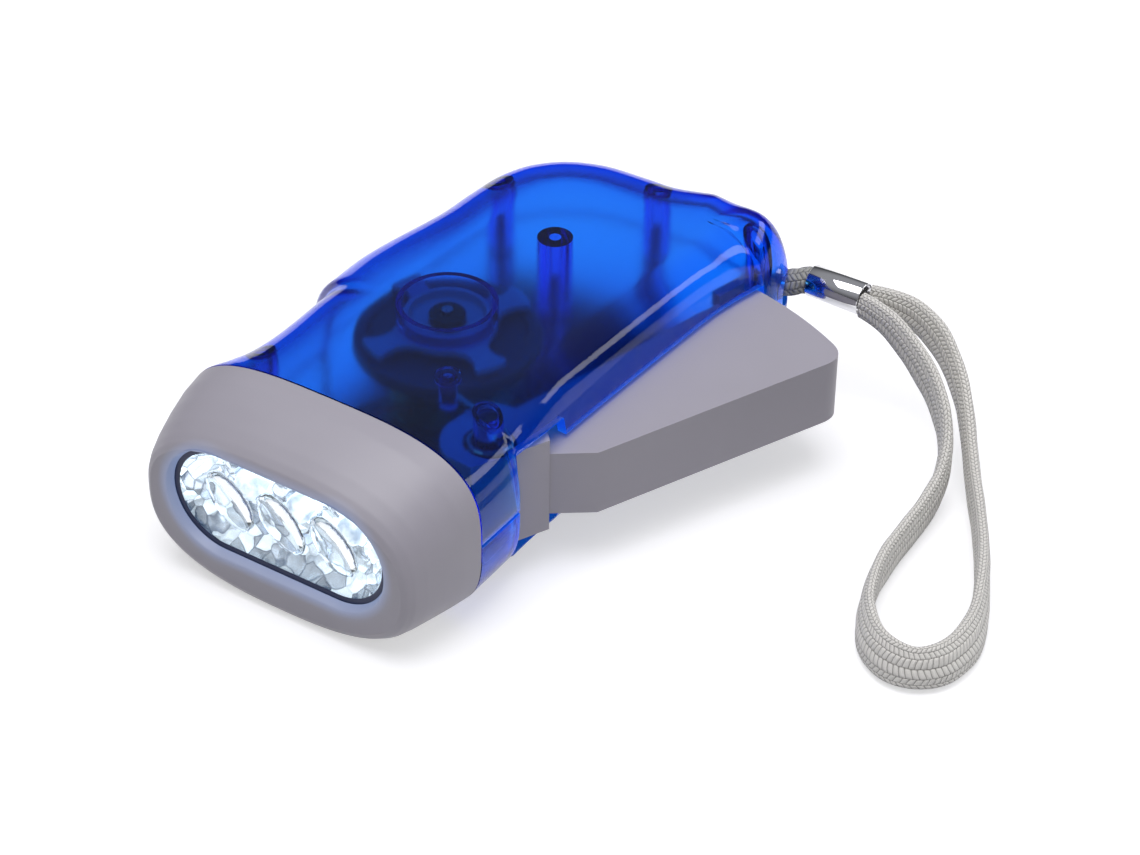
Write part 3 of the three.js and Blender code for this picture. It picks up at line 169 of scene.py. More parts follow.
both = put(tree, "ShaderNodeAddShader", {0: shader.outputs[0], 1: glow.outputs[0]})
feed(tree.nodes["Material Output"], {"Surface": both.outputs[0]})
table_steps = 96
table_reach = 6
rim = [(table_reach * math.cos(2 * math.pi * i / table_steps),
        table_reach * math.sin(2 * math.pi * i / table_steps), -0.0002) for i in range(table_steps)]
table = solid("studio_table", rim, [range(table_steps)], table_finish)

world = bpy.data.worlds.new("studio")
world.use_nodes = True
bpy.context.scene.world = world
room = world.node_tree
heading = put(room, "ShaderNodeSeparateXYZ", {0: put(room, "ShaderNodeTexCoord").outputs["Generated"]})
lighter = ranged(heading.outputs[2], 0.05, 0.75, 0.05, 0.34, "SMOOTHSTEP")
feed(room.nodes["Background"], {"Color": (0.92, 0.94, 1, 1), "Strength": lighter})


def soft_lamp(name, place, aim, width, height, power, colour=(1, 1, 1)):
    """A soft rectangular lamp at a place, facing a point."""
    data = bpy.data.lights.new(name, "AREA")
    data.shape = "RECTANGLE"
    data.size = width
    data.size_y = height
    data.energy = power
    data.color = colour
    lamp = shown(name, data)
    lamp.visible_transmission = False
    towards = (Vector(aim) - Vector(place)).to_track_quat("-Z", "Y")
    lamp.matrix_world = Matrix.Translation(place) @ towards.to_matrix().to_4x4()


soft_lamp("lamp_overhead", (0.05, -0.16, 1.1), (0, 0, 0), 0.9, 0.9, 10.5, (0.98, 0.97, 1))
soft_lamp("panel_behind", (0.62, 0.78, 0.42), (0, 0.03, 0.02), 0.9, 0.22, 2.6)

axle_y = 48.6


def at(x, y, z):
    """A place given in millimetres from the middle of the front face, at table height. The frame's
    own middle is under the rotor's axle."""
    return np.array([x, y - axle_y, z]) * MM


# The wrist strap: a flat tubular braid in pale grey yarn, doubled into a loop, its two ends
# side by side in a crimped sleeve. A darker braided tail leads from the sleeve into the nose.
strap_route = [
    (48.3, 104.3, 19.6), (51.4, 103.7, 19.4), (55.6, 102.4, 18.7), (61, 100, 16.8), (66.2, 97.2, 14.2),
    (70, 94.2, 11.6), (72.6, 91.2, 9.2), (74.5, 87.6, 7), (75.7, 83.2, 5.2), (76.3, 77, 4.1),
    (76.6, 69.8, 3.8), (77.2, 62.8, 3.8), (78.5, 56.2, 3.8), (80.8, 49.8, 3.9), (84.6, 44.6, 3.9),
    (89.2, 42.1, 3.9), (93.8, 42.5, 3.9), (97, 46, 3.9), (98, 51.8, 3.9), (96.8, 58.2, 3.8),
    (94, 64.8, 3.8), (90, 72.4, 3.8), (85.2, 80.4, 3.9), (80.6, 87.3, 4.4), (76.6, 93.3, 5.8),
    (73, 98.5, 8), (69.5, 102.6, 10.6), (65.7, 105.7, 13.3), (61.4, 107.9, 16), (56.6, 108.9, 18),
    (52, 108.2, 19.3), (48.3, 107.3, 19.6),
]
strap_width = 7.2
strap_thickness = 2.4
mouth_width = 4.93
mouth_share = 0.09
lean_degrees = 24
lean_shares = (0.32, 0.48, 0.52, 0.68)


def smooth(value, start, end):
    """0 before start, 1 after end, and an even rise between."""
    share = np.clip((np.asarray(value, float) - start) / (end - start), 0, 1)
    return share * share * (3 - 2 * share)


def curve_through(places, per_span=24):
    """A smooth line through places, as close points, and the distance along it."""
    places = np.array(places, float)
    ends = np.vstack([places[:1], places, places[-1:]])
    line = []
    for i in range(len(places) - 1):
        before, start, end, after = ends[i:i + 4]
        for t in np.arange(per_span) / per_span:
            v0, v1 = (end - before) / 2, (after - start) / 2
            line.append((2 * start - 2 * end + v0 + v1) * t ** 3
                        + (-3 * start + 3 * end - 2 * v0 - v1) * t ** 2 + v0 * t + start)
    line.append(places[-1])
    line = np.array(line)
    steps = np.linalg.norm(np.diff(line, axis=0), axis=1)
    return line, np.concatenate([[0], np.cumsum(steps)])


def spaced(line, along, shares):
    """Points on a line at shares of its length."""
    stops = np.asarray(shares) * along[-1]
    return np.array([np.interp(stops, along, line[:, k]) for k in range(line.shape[1])]).T


def unit(rows):
    """Rows of vectors, each made one long."""
    return rows / np.linalg.norm(rows, axis=1, keepdims=True)


def followed(route, steps):
    """Even steps on a smooth line through places: their shares of its length, their places,
    headings and level sides, and the length."""
    line, along = curve_through(route)
    shares = np.linspace(0, 1, steps)
    middle = spaced(line, along, shares)
    tangent = unit(np.gradient(middle, axis=0))
    return shares, middle, tangent, unit(np.cross(tangent, [0, 0, 1])), along[-1]


def squared(wave, power):
    """A sine or cosine drawn out, so that a circle becomes a rounded box."""
    return np.sign(wave) * np.abs(wave) ** (2 / power)


def braided_tube(name, rings, finish, pitch_around):
    """A closed tube through rings of points, with a map of millimetres along and yarns around."""
    count, sides = rings.shape[:2]
    points = rings.reshape(-1, 3)
    faces = []
    for i in range(count - 1):
        for j in range(sides):
            k = (j + 1) % sides
            faces.append((i * sides + j, i * sides + k, (i + 1) * sides + k, (i + 1) * sides + j))
    faces.append(range(sides))
    faces.append(range((count - 1) * sides, count * sides))
    made = solid(name, points, faces, finish, 70)
    middle = rings.mean(axis=1)
    along = np.concatenate([[0], np.cumsum(np.linalg.norm(np.diff(middle, axis=0), axis=1))]) / MM
    turns = np.arange(sides + 1) / sides * pitch_around
    layer = made.data.uv_layers.new(name="yarn")
    for polygon in made.data.polygons:
        corners = [made.data.loops[i].vertex_index for i in polygon.loop_indices]
        columns = [c % sides for c in corners]
        wraps = max(columns) - min(columns) > sides / 2
        for loop, corner, column in zip(polygon.loop_indices, corners, columns):
            column = sides if wraps and column == 0 else column
            layer.data[loop].uv = (along[corner // sides], turns[column])
    return made


def new_group(name, inputs):
    """A new group of shader nodes, and the node that brings its inputs in: each has a number to
    start from, or None for a vector."""
    group = bpy.data.node_groups.new(name, "ShaderNodeTree")
    for key, value in inputs.items():
        kind = "NodeSocketVector" if value is None else "NodeSocketFloat"
        socket = group.interface.new_socket(key, in_out="INPUT", socket_type=kind)
        if value is not None:
            socket.default_value = value
    return group, put(group, "NodeGroupInput").outputs


def ended(group, outputs):
    """The group with its outputs, all of them numbers."""
    for key in outputs:
        group.interface.new_socket(key, in_out="OUTPUT", socket_type="NodeSocketFloat")
    feed(put(group, "NodeGroupOutput"), outputs)
    return group


def braid_group():
    """Yarns laid in slanting stitches, each column leaning the other way: their height, and the
    gaps between them as a mask for painted shade."""
    group, given = new_group("braid_yarns", {"Stitch": 1.0, "Slant": 0.5, "Map": None})
    split = put(group, "ShaderNodeSeparateXYZ", {0: given["Map"]})
    wobble = put(group, "ShaderNodeTexNoise", {"Vector": given["Map"], "Scale": 0.8, "Detail": 1})
    shift = sums("MULTIPLY", sums("SUBTRACT", wobble.outputs[0], 0.5), 0.35)
    column = sums("ADD", split.outputs[1], sums("MULTIPLY", shift, 0.4))
    within = sums("FRACT", column)
    second = sums("GREATER_THAN", sums("FRACT", sums("MULTIPLY", column, 0.5)), 0.5)
    side = sums("SUBTRACT", sums("MULTIPLY", second, 2), 1)
    lean = sums("MULTIPLY", sums("MULTIPLY", within, side), given["Slant"])
    stitch = sums("ADD", sums("DIVIDE", split.outputs[0], given["Stitch"]), sums("ADD", lean, shift))
    across = sums("ABSOLUTE", sums("SUBTRACT", sums("FRACT", stitch), 0.5))
    edge = sums("ABSOLUTE", sums("SUBTRACT", within, 0.5))
    round_yarn, round_column = (
        sums("SUBTRACT", 1, sums("POWER", sums("MULTIPLY", way, 2), power))
        for way, power in ((across, 2.2), (edge, 5)))
    height = sums("MULTIPLY", round_yarn, round_column)
    gap_shade = sums("SUBTRACT", 1, sums("SMOOTH_MIN", sums("MULTIPLY", height, 2.6), 1.0, 0.3))
    fuzz = put(group, "ShaderNodeTexNoise", {"Vector": given["Map"], "Scale": 9, "Detail": 3})
    return ended(group, {"Height": height, "GapShade": gap_shade, "Fuzz": fuzz.outputs[0]})


braid = braid_group()


def braid_finish(name, pale, dark, stitch, depth):
    """Braided yarn: pale on the stitches and darkened by painted shade in the gaps, with a soft sheen."""
    made, tree, shader = material(name)
    place = put(tree, "ShaderNodeUVMap", uv_map="yarn").outputs[0]
    yarns = put(tree, "ShaderNodeGroup", {"Stitch": stitch, "Map": place}, node_tree=braid)
    shade = blend(sums("MULTIPLY", yarns.outputs["GapShade"], 0.85), pale, dark)
    level = sums("ADD", sums("MULTIPLY", yarns.outputs["Fuzz"], 0.3), 0.85)
    tint = put(tree, "ShaderNodeCombineColor", {0: level, 1: level, 2: level}).outputs[0]
    tinted = put(tree, "ShaderNodeMix", {0: 1.0, 6: shade, 7: tint}, data_type="RGBA", blend_type="MULTIPLY")
    feed(shader, {"Base Color": tinted.outputs[2], "Roughness": 0.72, "Sheen Weight": 0.35,
                  "Sheen Roughness": 0.5})
    bumped(shader, yarns.outputs["Height"], 0.9, depth)
    return made


# The second colour of each braid is the painted shade in the gaps between its stitches.
webbing_finish = braid_finish("webbing_yarn", (0.78, 0.76, 0.71), (0.13, 0.12, 0.1), 0.85, 0.2)
tail_finish = braid_finish("tail_yarn", (0.36, 0.36, 0.33), (0.03, 0.03, 0.035), 0.9, 0.3)

strap_sides = 44
strap_power = 2.6
shares, middle, tangent, side, strap_length = followed(strap_route, 430)
lean = np.radians(-lean_degrees) * smooth(shares, *lean_shares[:2]) * (1 - smooth(shares, *lean_shares[2:]))
side_leaning = side * np.cos(lean)[:, None] + np.cross(tangent, side) * np.sin(lean)[:, None]
upright = np.cross(side_leaning, tangent)
near_mouth = smooth(np.minimum(shares, 1 - shares), 0, mouth_share)
half_width = (mouth_width + (strap_width - mouth_width) * near_mouth) / 2
uneven = 1 + 0.02 * np.sin(shares * 61) + 0.015 * np.sin(shares * 137 + 1)
angles = np.arange(strap_sides) / strap_sides * 2 * math.pi
across = squared(np.cos(angles), strap_power)
over = squared(np.sin(angles), strap_power)
channels = 1 - 0.07 * np.cos(across * 3 * math.pi) * (np.abs(across) < 0.95)
half_thickness = strap_thickness / 2 * uneven
rings = (middle[:, None] + upright[:, None] * (half_width * uneven)[:, None, None] * across[None, :, None]
         + side_leaning[:, None] * half_thickness[:, None, None] * (over * channels)[None, :, None])
rings = (rings - [0, axle_y, 0]) * MM
loop = braided_tube("wrist_loop", rings, webbing_finish, 16)
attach(loop, "torch_body")
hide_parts("strap_loop")

# The sleeve is a short drawn tube, plated bright and crimped over both ends of the strap.
sleeve_start = np.array([37.56, 105.72, 19.81])
sleeve_length = 10.4
sleeve_radius = 2.9
sleeve_wall = 0.35


def lathe(name, profile, start, finish, sides=64, closed=False, smooth_angle=30, axis=(0, 0, 1)):
    """A turned piece: profile pairs of radius and distance in millimetres along an axis."""
    axis = np.array(axis, float) / np.linalg.norm(axis)
    first = np.cross(axis, [0, 0, 1] if abs(axis[2]) < 0.9 else [1, 0, 0])
    first = first / np.linalg.norm(first)
    second = np.cross(axis, first)
    points, faces, rows = [], [], []
    for radius, distance in profile:
        centre = np.array(start, float) + axis * distance
        if radius == 0:
            rows.append([len(points)])
            points.append(centre)
            continue
        rows.append(list(range(len(points), len(points) + sides)))
        for i in range(sides):
            angle = 2 * math.pi * i / sides
            points.append(centre + radius * (first * math.cos(angle) + second * math.sin(angle)))
    pairs = list(zip(rows, rows[1:] + rows[:1]))
    for low, high in pairs if closed else pairs[:-1]:
        for i in range(sides if len(low) + len(high) > 2 else 0):
            j = (i + 1) % sides
            if len(low) == 1:
                faces.append((low[0], high[i], high[j]))
            elif len(high) == 1:
                faces.append((low[i], low[j], high[0]))
            else:
                faces.append((low[i], low[j], high[j], high[i]))
    return solid(name, [at(*p) for p in points], faces, finish, smooth_angle)


def grain_group():
    """Fine surface grain and faint scuffs, for moulded and turned pieces."""
    group, given = new_group("fine_grain", {"Size": 0.3, "Scuffs": 0.5})
    place = put(group, "ShaderNodeTexCoord").outputs["Object"]
    scale = sums("DIVIDE", 1000, given["Size"])
    fine = put(group, "ShaderNodeTexNoise", {"Vector": place, "Scale": scale, "Detail": 3, "Roughness": 0.6})
    broad = put(group, "ShaderNodeTexNoise", {"Vector": place, "Scale": 90, "Detail": 2})
    drawn = put(group, "ShaderNodeMapping", {
        "Vector": place, "Scale": (1, 9, 1), "Rotation": (0.3, 0.2, 0.7)})
    scratch = put(group, "ShaderNodeTexNoise", {"Vector": drawn.outputs[0], "Scale": 420, "Detail": 2})
    scuff = sums("MULTIPLY", ranged(scratch.outputs[0], 0.62, 0.72), given["Scuffs"])
    return ended(group, {"Height": fine.outputs[0], "Mottle": broad.outputs[0], "Scuff": scuff})


grain = grain_group()


def grained(name, colour, roughness, metallic, grain_size, depth, mottle, scuffs):
    """A plain material with fine grain in its height, a slight mottle and faint scuffs."""
    made, tree, shader = material(name)
    surface = put(tree, "ShaderNodeGroup", {"Size": grain_size, "Scuffs": scuffs}, node_tree=grain)
    low = [c * (1 - mottle) for c in colour]
    high = [min(1, c * (1 + mottle)) for c in colour]
    rough = sums("ADD", sums("MULTIPLY", surface.outputs["Scuff"], 0.12),
                 sums("MULTIPLY_ADD", surface.outputs["Mottle"], 0.1, roughness - 0.05))
    feed(shader, {"Base Color": blend(surface.outputs["Mottle"], low, high), "Roughness": rough,
                  "Metallic": metallic})
    bumped(shader, surface.outputs["Height"], 0.5, depth)
    return made


chrome_finish = grained("sleeve_chrome", (0.8, 0.8, 0.82), 0.07, 1.0, 0.5, 0.002, 0.03, 0.2)
inner_radius = sleeve_radius - sleeve_wall
sleeve = lathe("crimp_sleeve", [
    (inner_radius, 0.12), (inner_radius + 0.12, 0), (sleeve_radius - 0.12, 0), (sleeve_radius, 0.12),
    (sleeve_radius, sleeve_length - 0.12), (sleeve_radius - 0.12, sleeve_length),
    (inner_radius + 0.12, sleeve_length), (inner_radius, sleeve_length - 0.12),
], sleeve_start, chrome_finish, 72, True, 50, (1, 0, 0))
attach(sleeve, "torch_body")
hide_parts("strap_sleeve")

# The tail is a round dark braid, knotted behind the nose and held at its other end in the sleeve.
half_head = 29.05
body_length = 107
knot_place = np.array([0.93 * half_head, 0.936 * body_length, 17.3])
tail_radius = 2.3
tail_route = [knot_place + [-2.2, -1.4, -0.4], knot_place, knot_place + 0.6 * (sleeve_start - knot_place),
              sleeve_start, sleeve_start + [0.35 * sleeve_length, 0, 0]]
shares, middle, tangent, side, tail_length = followed(tail_route, 90)
upright = np.cross(side, tangent)
distance = shares * tail_length
knot_swell = np.exp(-((distance - 2.6) / 2.1) ** 2) * 0.7
closing = np.sqrt(np.clip(1 - (1 - np.clip(distance / 2.2, 0, 1)) ** 2, 0.02, 1))
radius = (tail_radius + knot_swell) * closing
angles = np.arange(36) / 36 * 2 * math.pi
ripple = 1 + 0.035 * np.cos(6 * angles[None, :] + distance[:, None] * 2.2)
rings = (middle[:, None] + (side[:, None] * np.cos(angles)[None, :, None]
         + upright[:, None] * np.sin(angles)[None, :, None]) * (radius[:, None] * ripple)[:, :, None])
tail = braided_tube("strap_tail_braid", (rings - [0, axle_y, 0]) * MM, tail_finish, 10)
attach(tail, "torch_body")
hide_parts("strap_tail")
[tuple(at(*p)) for p in spaced(*curve_through(strap_route), np.linspace(0, 1, 160))]


# The two shells are moulded in clear blue plastic, polished outside, 1.8 mm thick, with a soft
# edge above on the palm side and below on the lever side. They meet at a parting line at mid
# height, where their cut edges carry a faint painted glow, and the lever swings through a slot in
# their side wall.
body_thickness = 34.6
wall = 1.8
mid = body_thickness / 2
ceiling = body_thickness - wall
seam = 15.55
crown = 0.998
pivot = np.array([22, 28.2])
outline_shares = [
    (-0.977, 0.1), (-0.976, 0.144), (-0.93, 0.173), (-0.874, 0.215), (-0.843, 0.271),
    (-0.83, 0.346), (-0.826, 0.43), (-0.823, 0.505), (-0.802, 0.589), (-0.768, 0.682),
    (-0.747, 0.76), (-0.709, 0.832), (-0.599, 0.897), (-0.39, 0.952), (-0.11, 0.984),
    (0.207, 0.992), (0.551, 0.993), (0.878, 0.993), (1.077, 0.986), (1.181, 0.963), (1.225, 0.928),
    (1.225, 0.891), (1.184, 0.85), (1.139, 0.804), (1.108, 0.748), (1.074, 0.617),
    (1.046, 0.486), (1.029, 0.393), (1.022, 0.299), (1.026, 0.224), (1.024, 0.144),
    (1.024, 0.1),
]
nose_heart = np.array([0.8 * half_head, 0.865 * body_length])
slot_half_height = 7.0
window_half_height = 10.17
window_front = 26.28
window_back = 39.58
slot_reach = 66.85
eye_place = 101.6
eye_height = 1.9
eye_radius = 2.75


def wall_stations():
    """Places round the side wall, from the seam on the palm side to the seam on the lever side,
    closer together where its edge steps, with the way inwards at each."""
    line, along = curve_through([(x * half_head, y * body_length) for x, y in outline_shares], 40)
    rising = np.interp(seam, line[:400, 1], along[:400])
    falling = along[-1] - np.interp(seam, line[::-1][:400, 1], along[-1] - along[::-1][:400])
    stops = list(np.linspace(rising, falling, 300))
    lever_side = (line[:, 0] > pivot[0]) & (along > along[-1] / 2)
    reach = np.hypot(line[:, 0] - pivot[0], line[:, 1] - pivot[1])
    for passed in (line[:, 1] < window_front, line[:, 1] < window_back, reach < slot_reach):
        step = along[np.argmax(lever_side & passed)]
        stops += [step - 0.03, step + 0.03]
    eye = along[np.argmax(lever_side & (line[:, 1] < eye_place))]
    stops += list(eye + eye_radius * np.sin(np.linspace(-0.5, 0.5, 23) * math.pi))
    stops = np.array(sorted(stops))
    place, ahead, behind = (np.array([np.interp(stops + shift, along, line[:, k]) for k in range(2)]).T
                            for shift in (0, 0.05, -0.05))
    tangent = unit(ahead - behind)
    normal = np.stack([tangent[:, 1], -tangent[:, 0]], axis=1)
    sideways = np.stack([-np.sign(place[:, 0]), np.zeros(len(place))], axis=1)
    behind_head = head_share(place)[:, None]
    inward = unit(sideways * (1 - behind_head) + normal * behind_head)
    nose = nose_share(place)[:, None]
    inward = unit(inward * (1 - nose) + unit(nose_heart - place) * nose)
    return stops - eye, place, inward


def head_share(place):
    """0 beside the light's head, rising to 1 well behind it."""
    return smooth(place[:, 1] / body_length, 0.144, 0.38)


def lever_share(place):
    """0 on the palm side, rising to 1 on the lever side."""
    return smooth(place[:, 0] / half_head, 0.35, 0.95)


def nose_share(place):
    """1 on the nose that holds the strap, and 0 away from it."""
    return lever_share(place) * smooth(place[:, 1] / body_length, 0.78, 0.9)


def edge_form(place, above):
    """How deep the rounded edge reaches inwards at each place, and the power of its curve."""
    behind_head = head_share(place)
    nose = nose_share(place)
    lever_side = lever_share(place)
    softness = np.maximum(1 - lever_side, nose) if above else lever_side
    sharp_depth, soft_depth, nose_depth = 9, 14 if above else 13, 10
    sharp_power, soft_power = 3.2, 2.35
    side_depth = sharp_depth + (soft_depth - sharp_depth) * softness
    depth = half_head + (side_depth - half_head) * behind_head
    depth = depth + (nose_depth - depth) * nose
    return depth, sharp_power + (soft_power - sharp_power) * softness * behind_head


def swell_at(place):
    """The finger stop on the palm side."""
    y = place[:, 1] / body_length
    return np.where(place[:, 0] > 0, 0, 2.3 * smooth(y, 0.407, 0.43) * (1 - smooth(y, 0.5, 0.71)))


def lip_height(from_eye, place, above):
    """How far above or below mid height the side wall starts at each place."""
    far_side = place[:, 0] > pivot[0]
    reach = np.hypot(place[:, 0] - pivot[0], place[:, 1] - pivot[1])
    height = np.full(len(place), 0.15)
    height[far_side & (place[:, 1] > window_front) & (reach < slot_reach)] = slot_half_height
    height[far_side & (place[:, 1] > window_front) & (place[:, 1] < window_back)] = window_half_height
    ring = eye_radius ** 2 - from_eye ** 2
    rise = np.sqrt(np.maximum(ring, 0)) + (eye_height if above else -eye_height)
    near = (ring > 0) & (place[:, 1] > 90)
    height[near] = np.maximum(height[near], rise[near])
    return height


def wall_rows(place, inward, from_eye, above, inset, steps):
    """Rows of points up the wall's face at an inset, from its lip to its crown, at each place."""
    depth, power = edge_form(place, above)
    start = lip_height(from_eye, place, above) * crown / (mid - inset)
    low = np.arcsin(np.clip(start, 0, 1) ** (power / 2))
    high = np.arcsin(crown ** (power / 2))
    share = np.linspace(0, 1, steps)
    angle = low[:, None] + (high - low)[:, None] * share
    level = np.sin(angle) ** (2 / power)[:, None]
    rounded = 1 - np.clip(np.cos(angle), 0, 1) ** (2 / power)[:, None]
    inside = inset + depth[:, None] * rounded - swell_at(place)[:, None] * (1 - level ** 6)
    flat = place[:, None] + inward[:, None] * inside[:, :, None]
    height = mid + (1 if above else -1) * (mid - inset) * level / crown
    return np.concatenate([flat, height[:, :, None]], axis=2)


def under_face(points, above):
    """The points of a piece moulded on a shell, held within the shell's face."""
    _, place, inward = wall_stations()
    depth, power = edge_form(place, above)
    held = []
    for x, y, z in points:
        away = np.array([x, y]) - place
        into = (away * inward).sum(axis=1)
        aside = np.abs(away[:, 0] * inward[:, 1] - away[:, 1] * inward[:, 0])
        near = np.argmin(aside + np.where(into < -1, 1000, 0) + into * 0.02)
        rounded = np.clip((into[near] - wall * 0.6 + swell_at(place)[near]) / depth[near], 0, 1)
        level = min((1 - (1 - rounded) ** power[near]) ** (1 / power[near]), crown)
        top = (mid - wall * 0.6) * level / crown
        held.append((x, y, min(z, mid + top) if above else max(z, mid - top)))
    return held


def shell_half(name, above, extras):
    """One shell: its wall with a rounded lip, its broad face, and the pieces moulded on it."""
    from_eye, place, inward = wall_stations()
    outer = wall_rows(place, inward, from_eye, above, 0, 30)
    inner = wall_rows(place, inward, from_eye, above, wall, 22)
    step_in = np.concatenate([inward, np.zeros((len(place), 1))], axis=1)[:, None]
    rise = np.array([0, 0, 1 if above else -1])
    lip = outer[:, :1]
    rows = np.concatenate([
        outer[:, -1:] + step_in * 1.4, outer[:, ::-1][:, :-1], lip + rise * 0.3,
        lip + rise * 0.09 + step_in * 0.09, lip + step_in * 0.3,
        inner[:, :1] - step_in * 0.15, inner[:, 1:], inner[:, -1:] + step_in * 0.7], axis=1)
    columns = rows.shape[1]
    count = len(place)
    outer_columns = outer.shape[1] + 3
    points = rows.reshape(-1, 3)
    faces = []
    inside_faces = set()
    painted_glow_faces = set()
    for i in range(count - 1):
        for j in range(columns - 1):
            a = i * columns + j
            if j >= outer_columns:
                inside_faces.add(len(faces))
            elif j >= outer.shape[1]:
                painted_glow_faces.add(len(faces))
            faces.append((a, a + 1, a + 1 + columns, a + columns))
    last = (count - 1) * columns
    faces.append([i * columns for i in range(count)])
    inside_faces.add(len(faces))
    faces.append([i * columns + columns - 1 for i in range(count)])
    pairs = 20
    for edge in (0, last):
        for j in range(pairs):
            faces.append((edge + j, edge + j + 1, edge + columns - 2 - j, edge + columns - 1 - j))
        faces.append([edge + j for j in range(pairs, columns - pairs)])
    faces.append((0, last, last + columns - 1, columns - 1))
    bm = bmesh.new()
    verts = [bm.verts.new(tuple(at(*p))) for p in points]
    frosting = bm.faces.layers.float.new("frosting")
    # Faces on the wall's cut edge are marked for a painted glow.
    painted_edge_glow = bm.faces.layers.float.new("painted_edge_glow")
    for i, face in enumerate(faces):
        made = bm.faces.new([verts[v] for v in face])
        made[frosting] = 1 if i in inside_faces else 0
        made[painted_edge_glow] = 1 if i in painted_glow_faces else 0
    bmesh.ops.triangulate(bm, faces=[f for f in bm.faces if len(f.verts) > 4])
    bmesh.ops.recalc_face_normals(bm, faces=bm.faces[:])
    for piece in extras:
        held = under_face([(v.co.x / MM, v.co.y / MM + axle_y, v.co.z / MM)
                           for v in piece.data.vertices], above)
        for vertex, point in zip(piece.data.vertices, held):
            vertex.co = at(*point)
        piece.data.polygons.foreach_set("material_index", [1] * len(piece.data.polygons))
        bm.from_mesh(piece.data)
        bpy.data.objects.remove(piece)
    mesh = bpy.data.meshes.new(name)
    bm.to_mesh(mesh)
    bm.free()
    shaded(mesh, 38)
    for finish in (shell_blue, thick_blue):
        mesh.materials.append(finish)
    return shown(name, mesh)


def lit_through(shader, colour):
    """Lets shadow rays through a clear material, in a colour."""
    tree = shader.id_data
    ray = put(tree, "ShaderNodeLightPath").outputs["Is Shadow Ray"]
    through = put(tree, "ShaderNodeBsdfTransparent", {"Color": (*colour, 1)}).outputs[0]
    choice = put(tree, "ShaderNodeMixShader", {0: ray, 1: shader.outputs[0], 2: through})
    feed(tree.nodes["Material Output"], {"Surface": choice.outputs[0]})


def blue_plastic(name, density, polish, frosting):
    """Clear blue plastic that swallows light on the way through, deeper in colour where it is seen
    aslant. It is rougher where it is frosted, and its cut edges carry a painted glow that stands in
    for light led along the wall."""
    made, tree, shader = material(name)
    aslant = put(tree, "ShaderNodeLayerWeight", {"Blend": 0.5}).outputs["Facing"]
    deeper = ranged(aslant, 0.62, 0.95, rise="SMOOTHSTEP")
    edge, frosted = (put(tree, "ShaderNodeAttribute", attribute_name=marked).outputs["Fac"]
                     for marked in ("painted_edge_glow", "frosting"))
    surface = put(tree, "ShaderNodeGroup", {"Size": 6, "Scuffs": 0.15}, node_tree=grain)
    plain = sums("MULTIPLY_ADD", surface.outputs["Scuff"], 0.08,
                 sums("MULTIPLY_ADD", surface.outputs["Mottle"], 0.04, polish))
    # The Emission Color paints a faint blue glow on the marked cut edges, standing in for light led along the
    # wall.
    feed(shader, {
        "Base Color": blend(deeper, (0.85, 0.95, 1), (0.02, 0.3, 0.95)),
        "Emission Color": blend(edge, (0, 0, 0), (0.003, 0.05, 0.3)), "Emission Strength": 1,
        "Transmission Weight": 1, "IOR": 1.37,
        "Roughness": sums("MULTIPLY_ADD", frosted, frosting, plain)})
    bumped(shader, surface.outputs["Height"], 0.12, 0.05)
    lit_through(shader, (0.3, 0.38, 0.64))
    swallow = put(tree, "ShaderNodeVolumeAbsorption", {"Color": (0.0, 0.675, 0.986, 1), "Density": density})
    feed(tree.nodes["Material Output"], {"Volume": swallow.outputs[0]})
    return made


shell_blue = blue_plastic("clear_blue_plastic", 1150, 0.015, 0.2)
thick_blue = blue_plastic("thick_blue_plastic", 850, 0.06, 0)

bosses = [(x * half_head, y * body_length, radius) for x, y, radius in (
    (0.147, 0.696, 3.07), (0.369, 0.908, 2.4), (1.07, 0.9, 2.4), (-0.475, 0.79, 2.4), (-0.637, 0.21, 2.4))]
upper_extras = []
lower_extras = []
for x, y, radius in bosses:
    upper_extras.append(lathe("boss", [
        (1.06, 17.5), (radius - 0.2, 17.5), (radius, 17.7), (radius, ceiling + 0.02), (1.06, ceiling + 0.02)],
        (x, y, 0), thick_blue, 40, True))
    lower_extras.append(lathe("boss", [
        (1.3, 6.3), (2.2, 4.5), (2.2, wall + 0.01), (2.7, wall + 0.01), (2.7, 6.1), (radius, 6.5),
        (radius, 17.0), (1.3, 17.0)], (x, y, 0), thick_blue, 40, True))
upper_extras.append(lathe("bearing_ring", [
    (7.6, ceiling + 0.02), (7.6, 29.4), (7.8, 29.2), (8.35, 29.2), (8.55, 29.4), (8.55, ceiling + 0.02)],
    (0, axle_y, 0), thick_blue, 96, True))
upper_extras.append(lathe("pivot_boss", [
    (1.66, 22.7), (2.3, 22.7), (2.41, 22.9), (2.41, ceiling + 0.02), (1.66, ceiling + 0.02)],
    (*pivot, 0), thick_blue, 40, True))
upper_extras.append(lathe("spring_post", [
    (0, 26.5), (1.3, 26.5), (1.5, 26.7), (1.5, ceiling - 1.2), (2.2, ceiling - 1), (2.2, ceiling + 0.02),
    (0.8, ceiling + 0.02), (0.8, ceiling - 0.9), (0, ceiling - 0.9)],
    (0.403 * half_head, 0.3 * body_length, 0), thick_blue, 32))
upper_shell = shell_half("upper_body_shell", True, upper_extras)
lower_shell = shell_half("lower_body_shell", False, lower_extras)
for shell, node in ((upper_shell, "upper_shell"), (lower_shell, "lower_shell")):
    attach(shell, "torch_body")
    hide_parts(node)
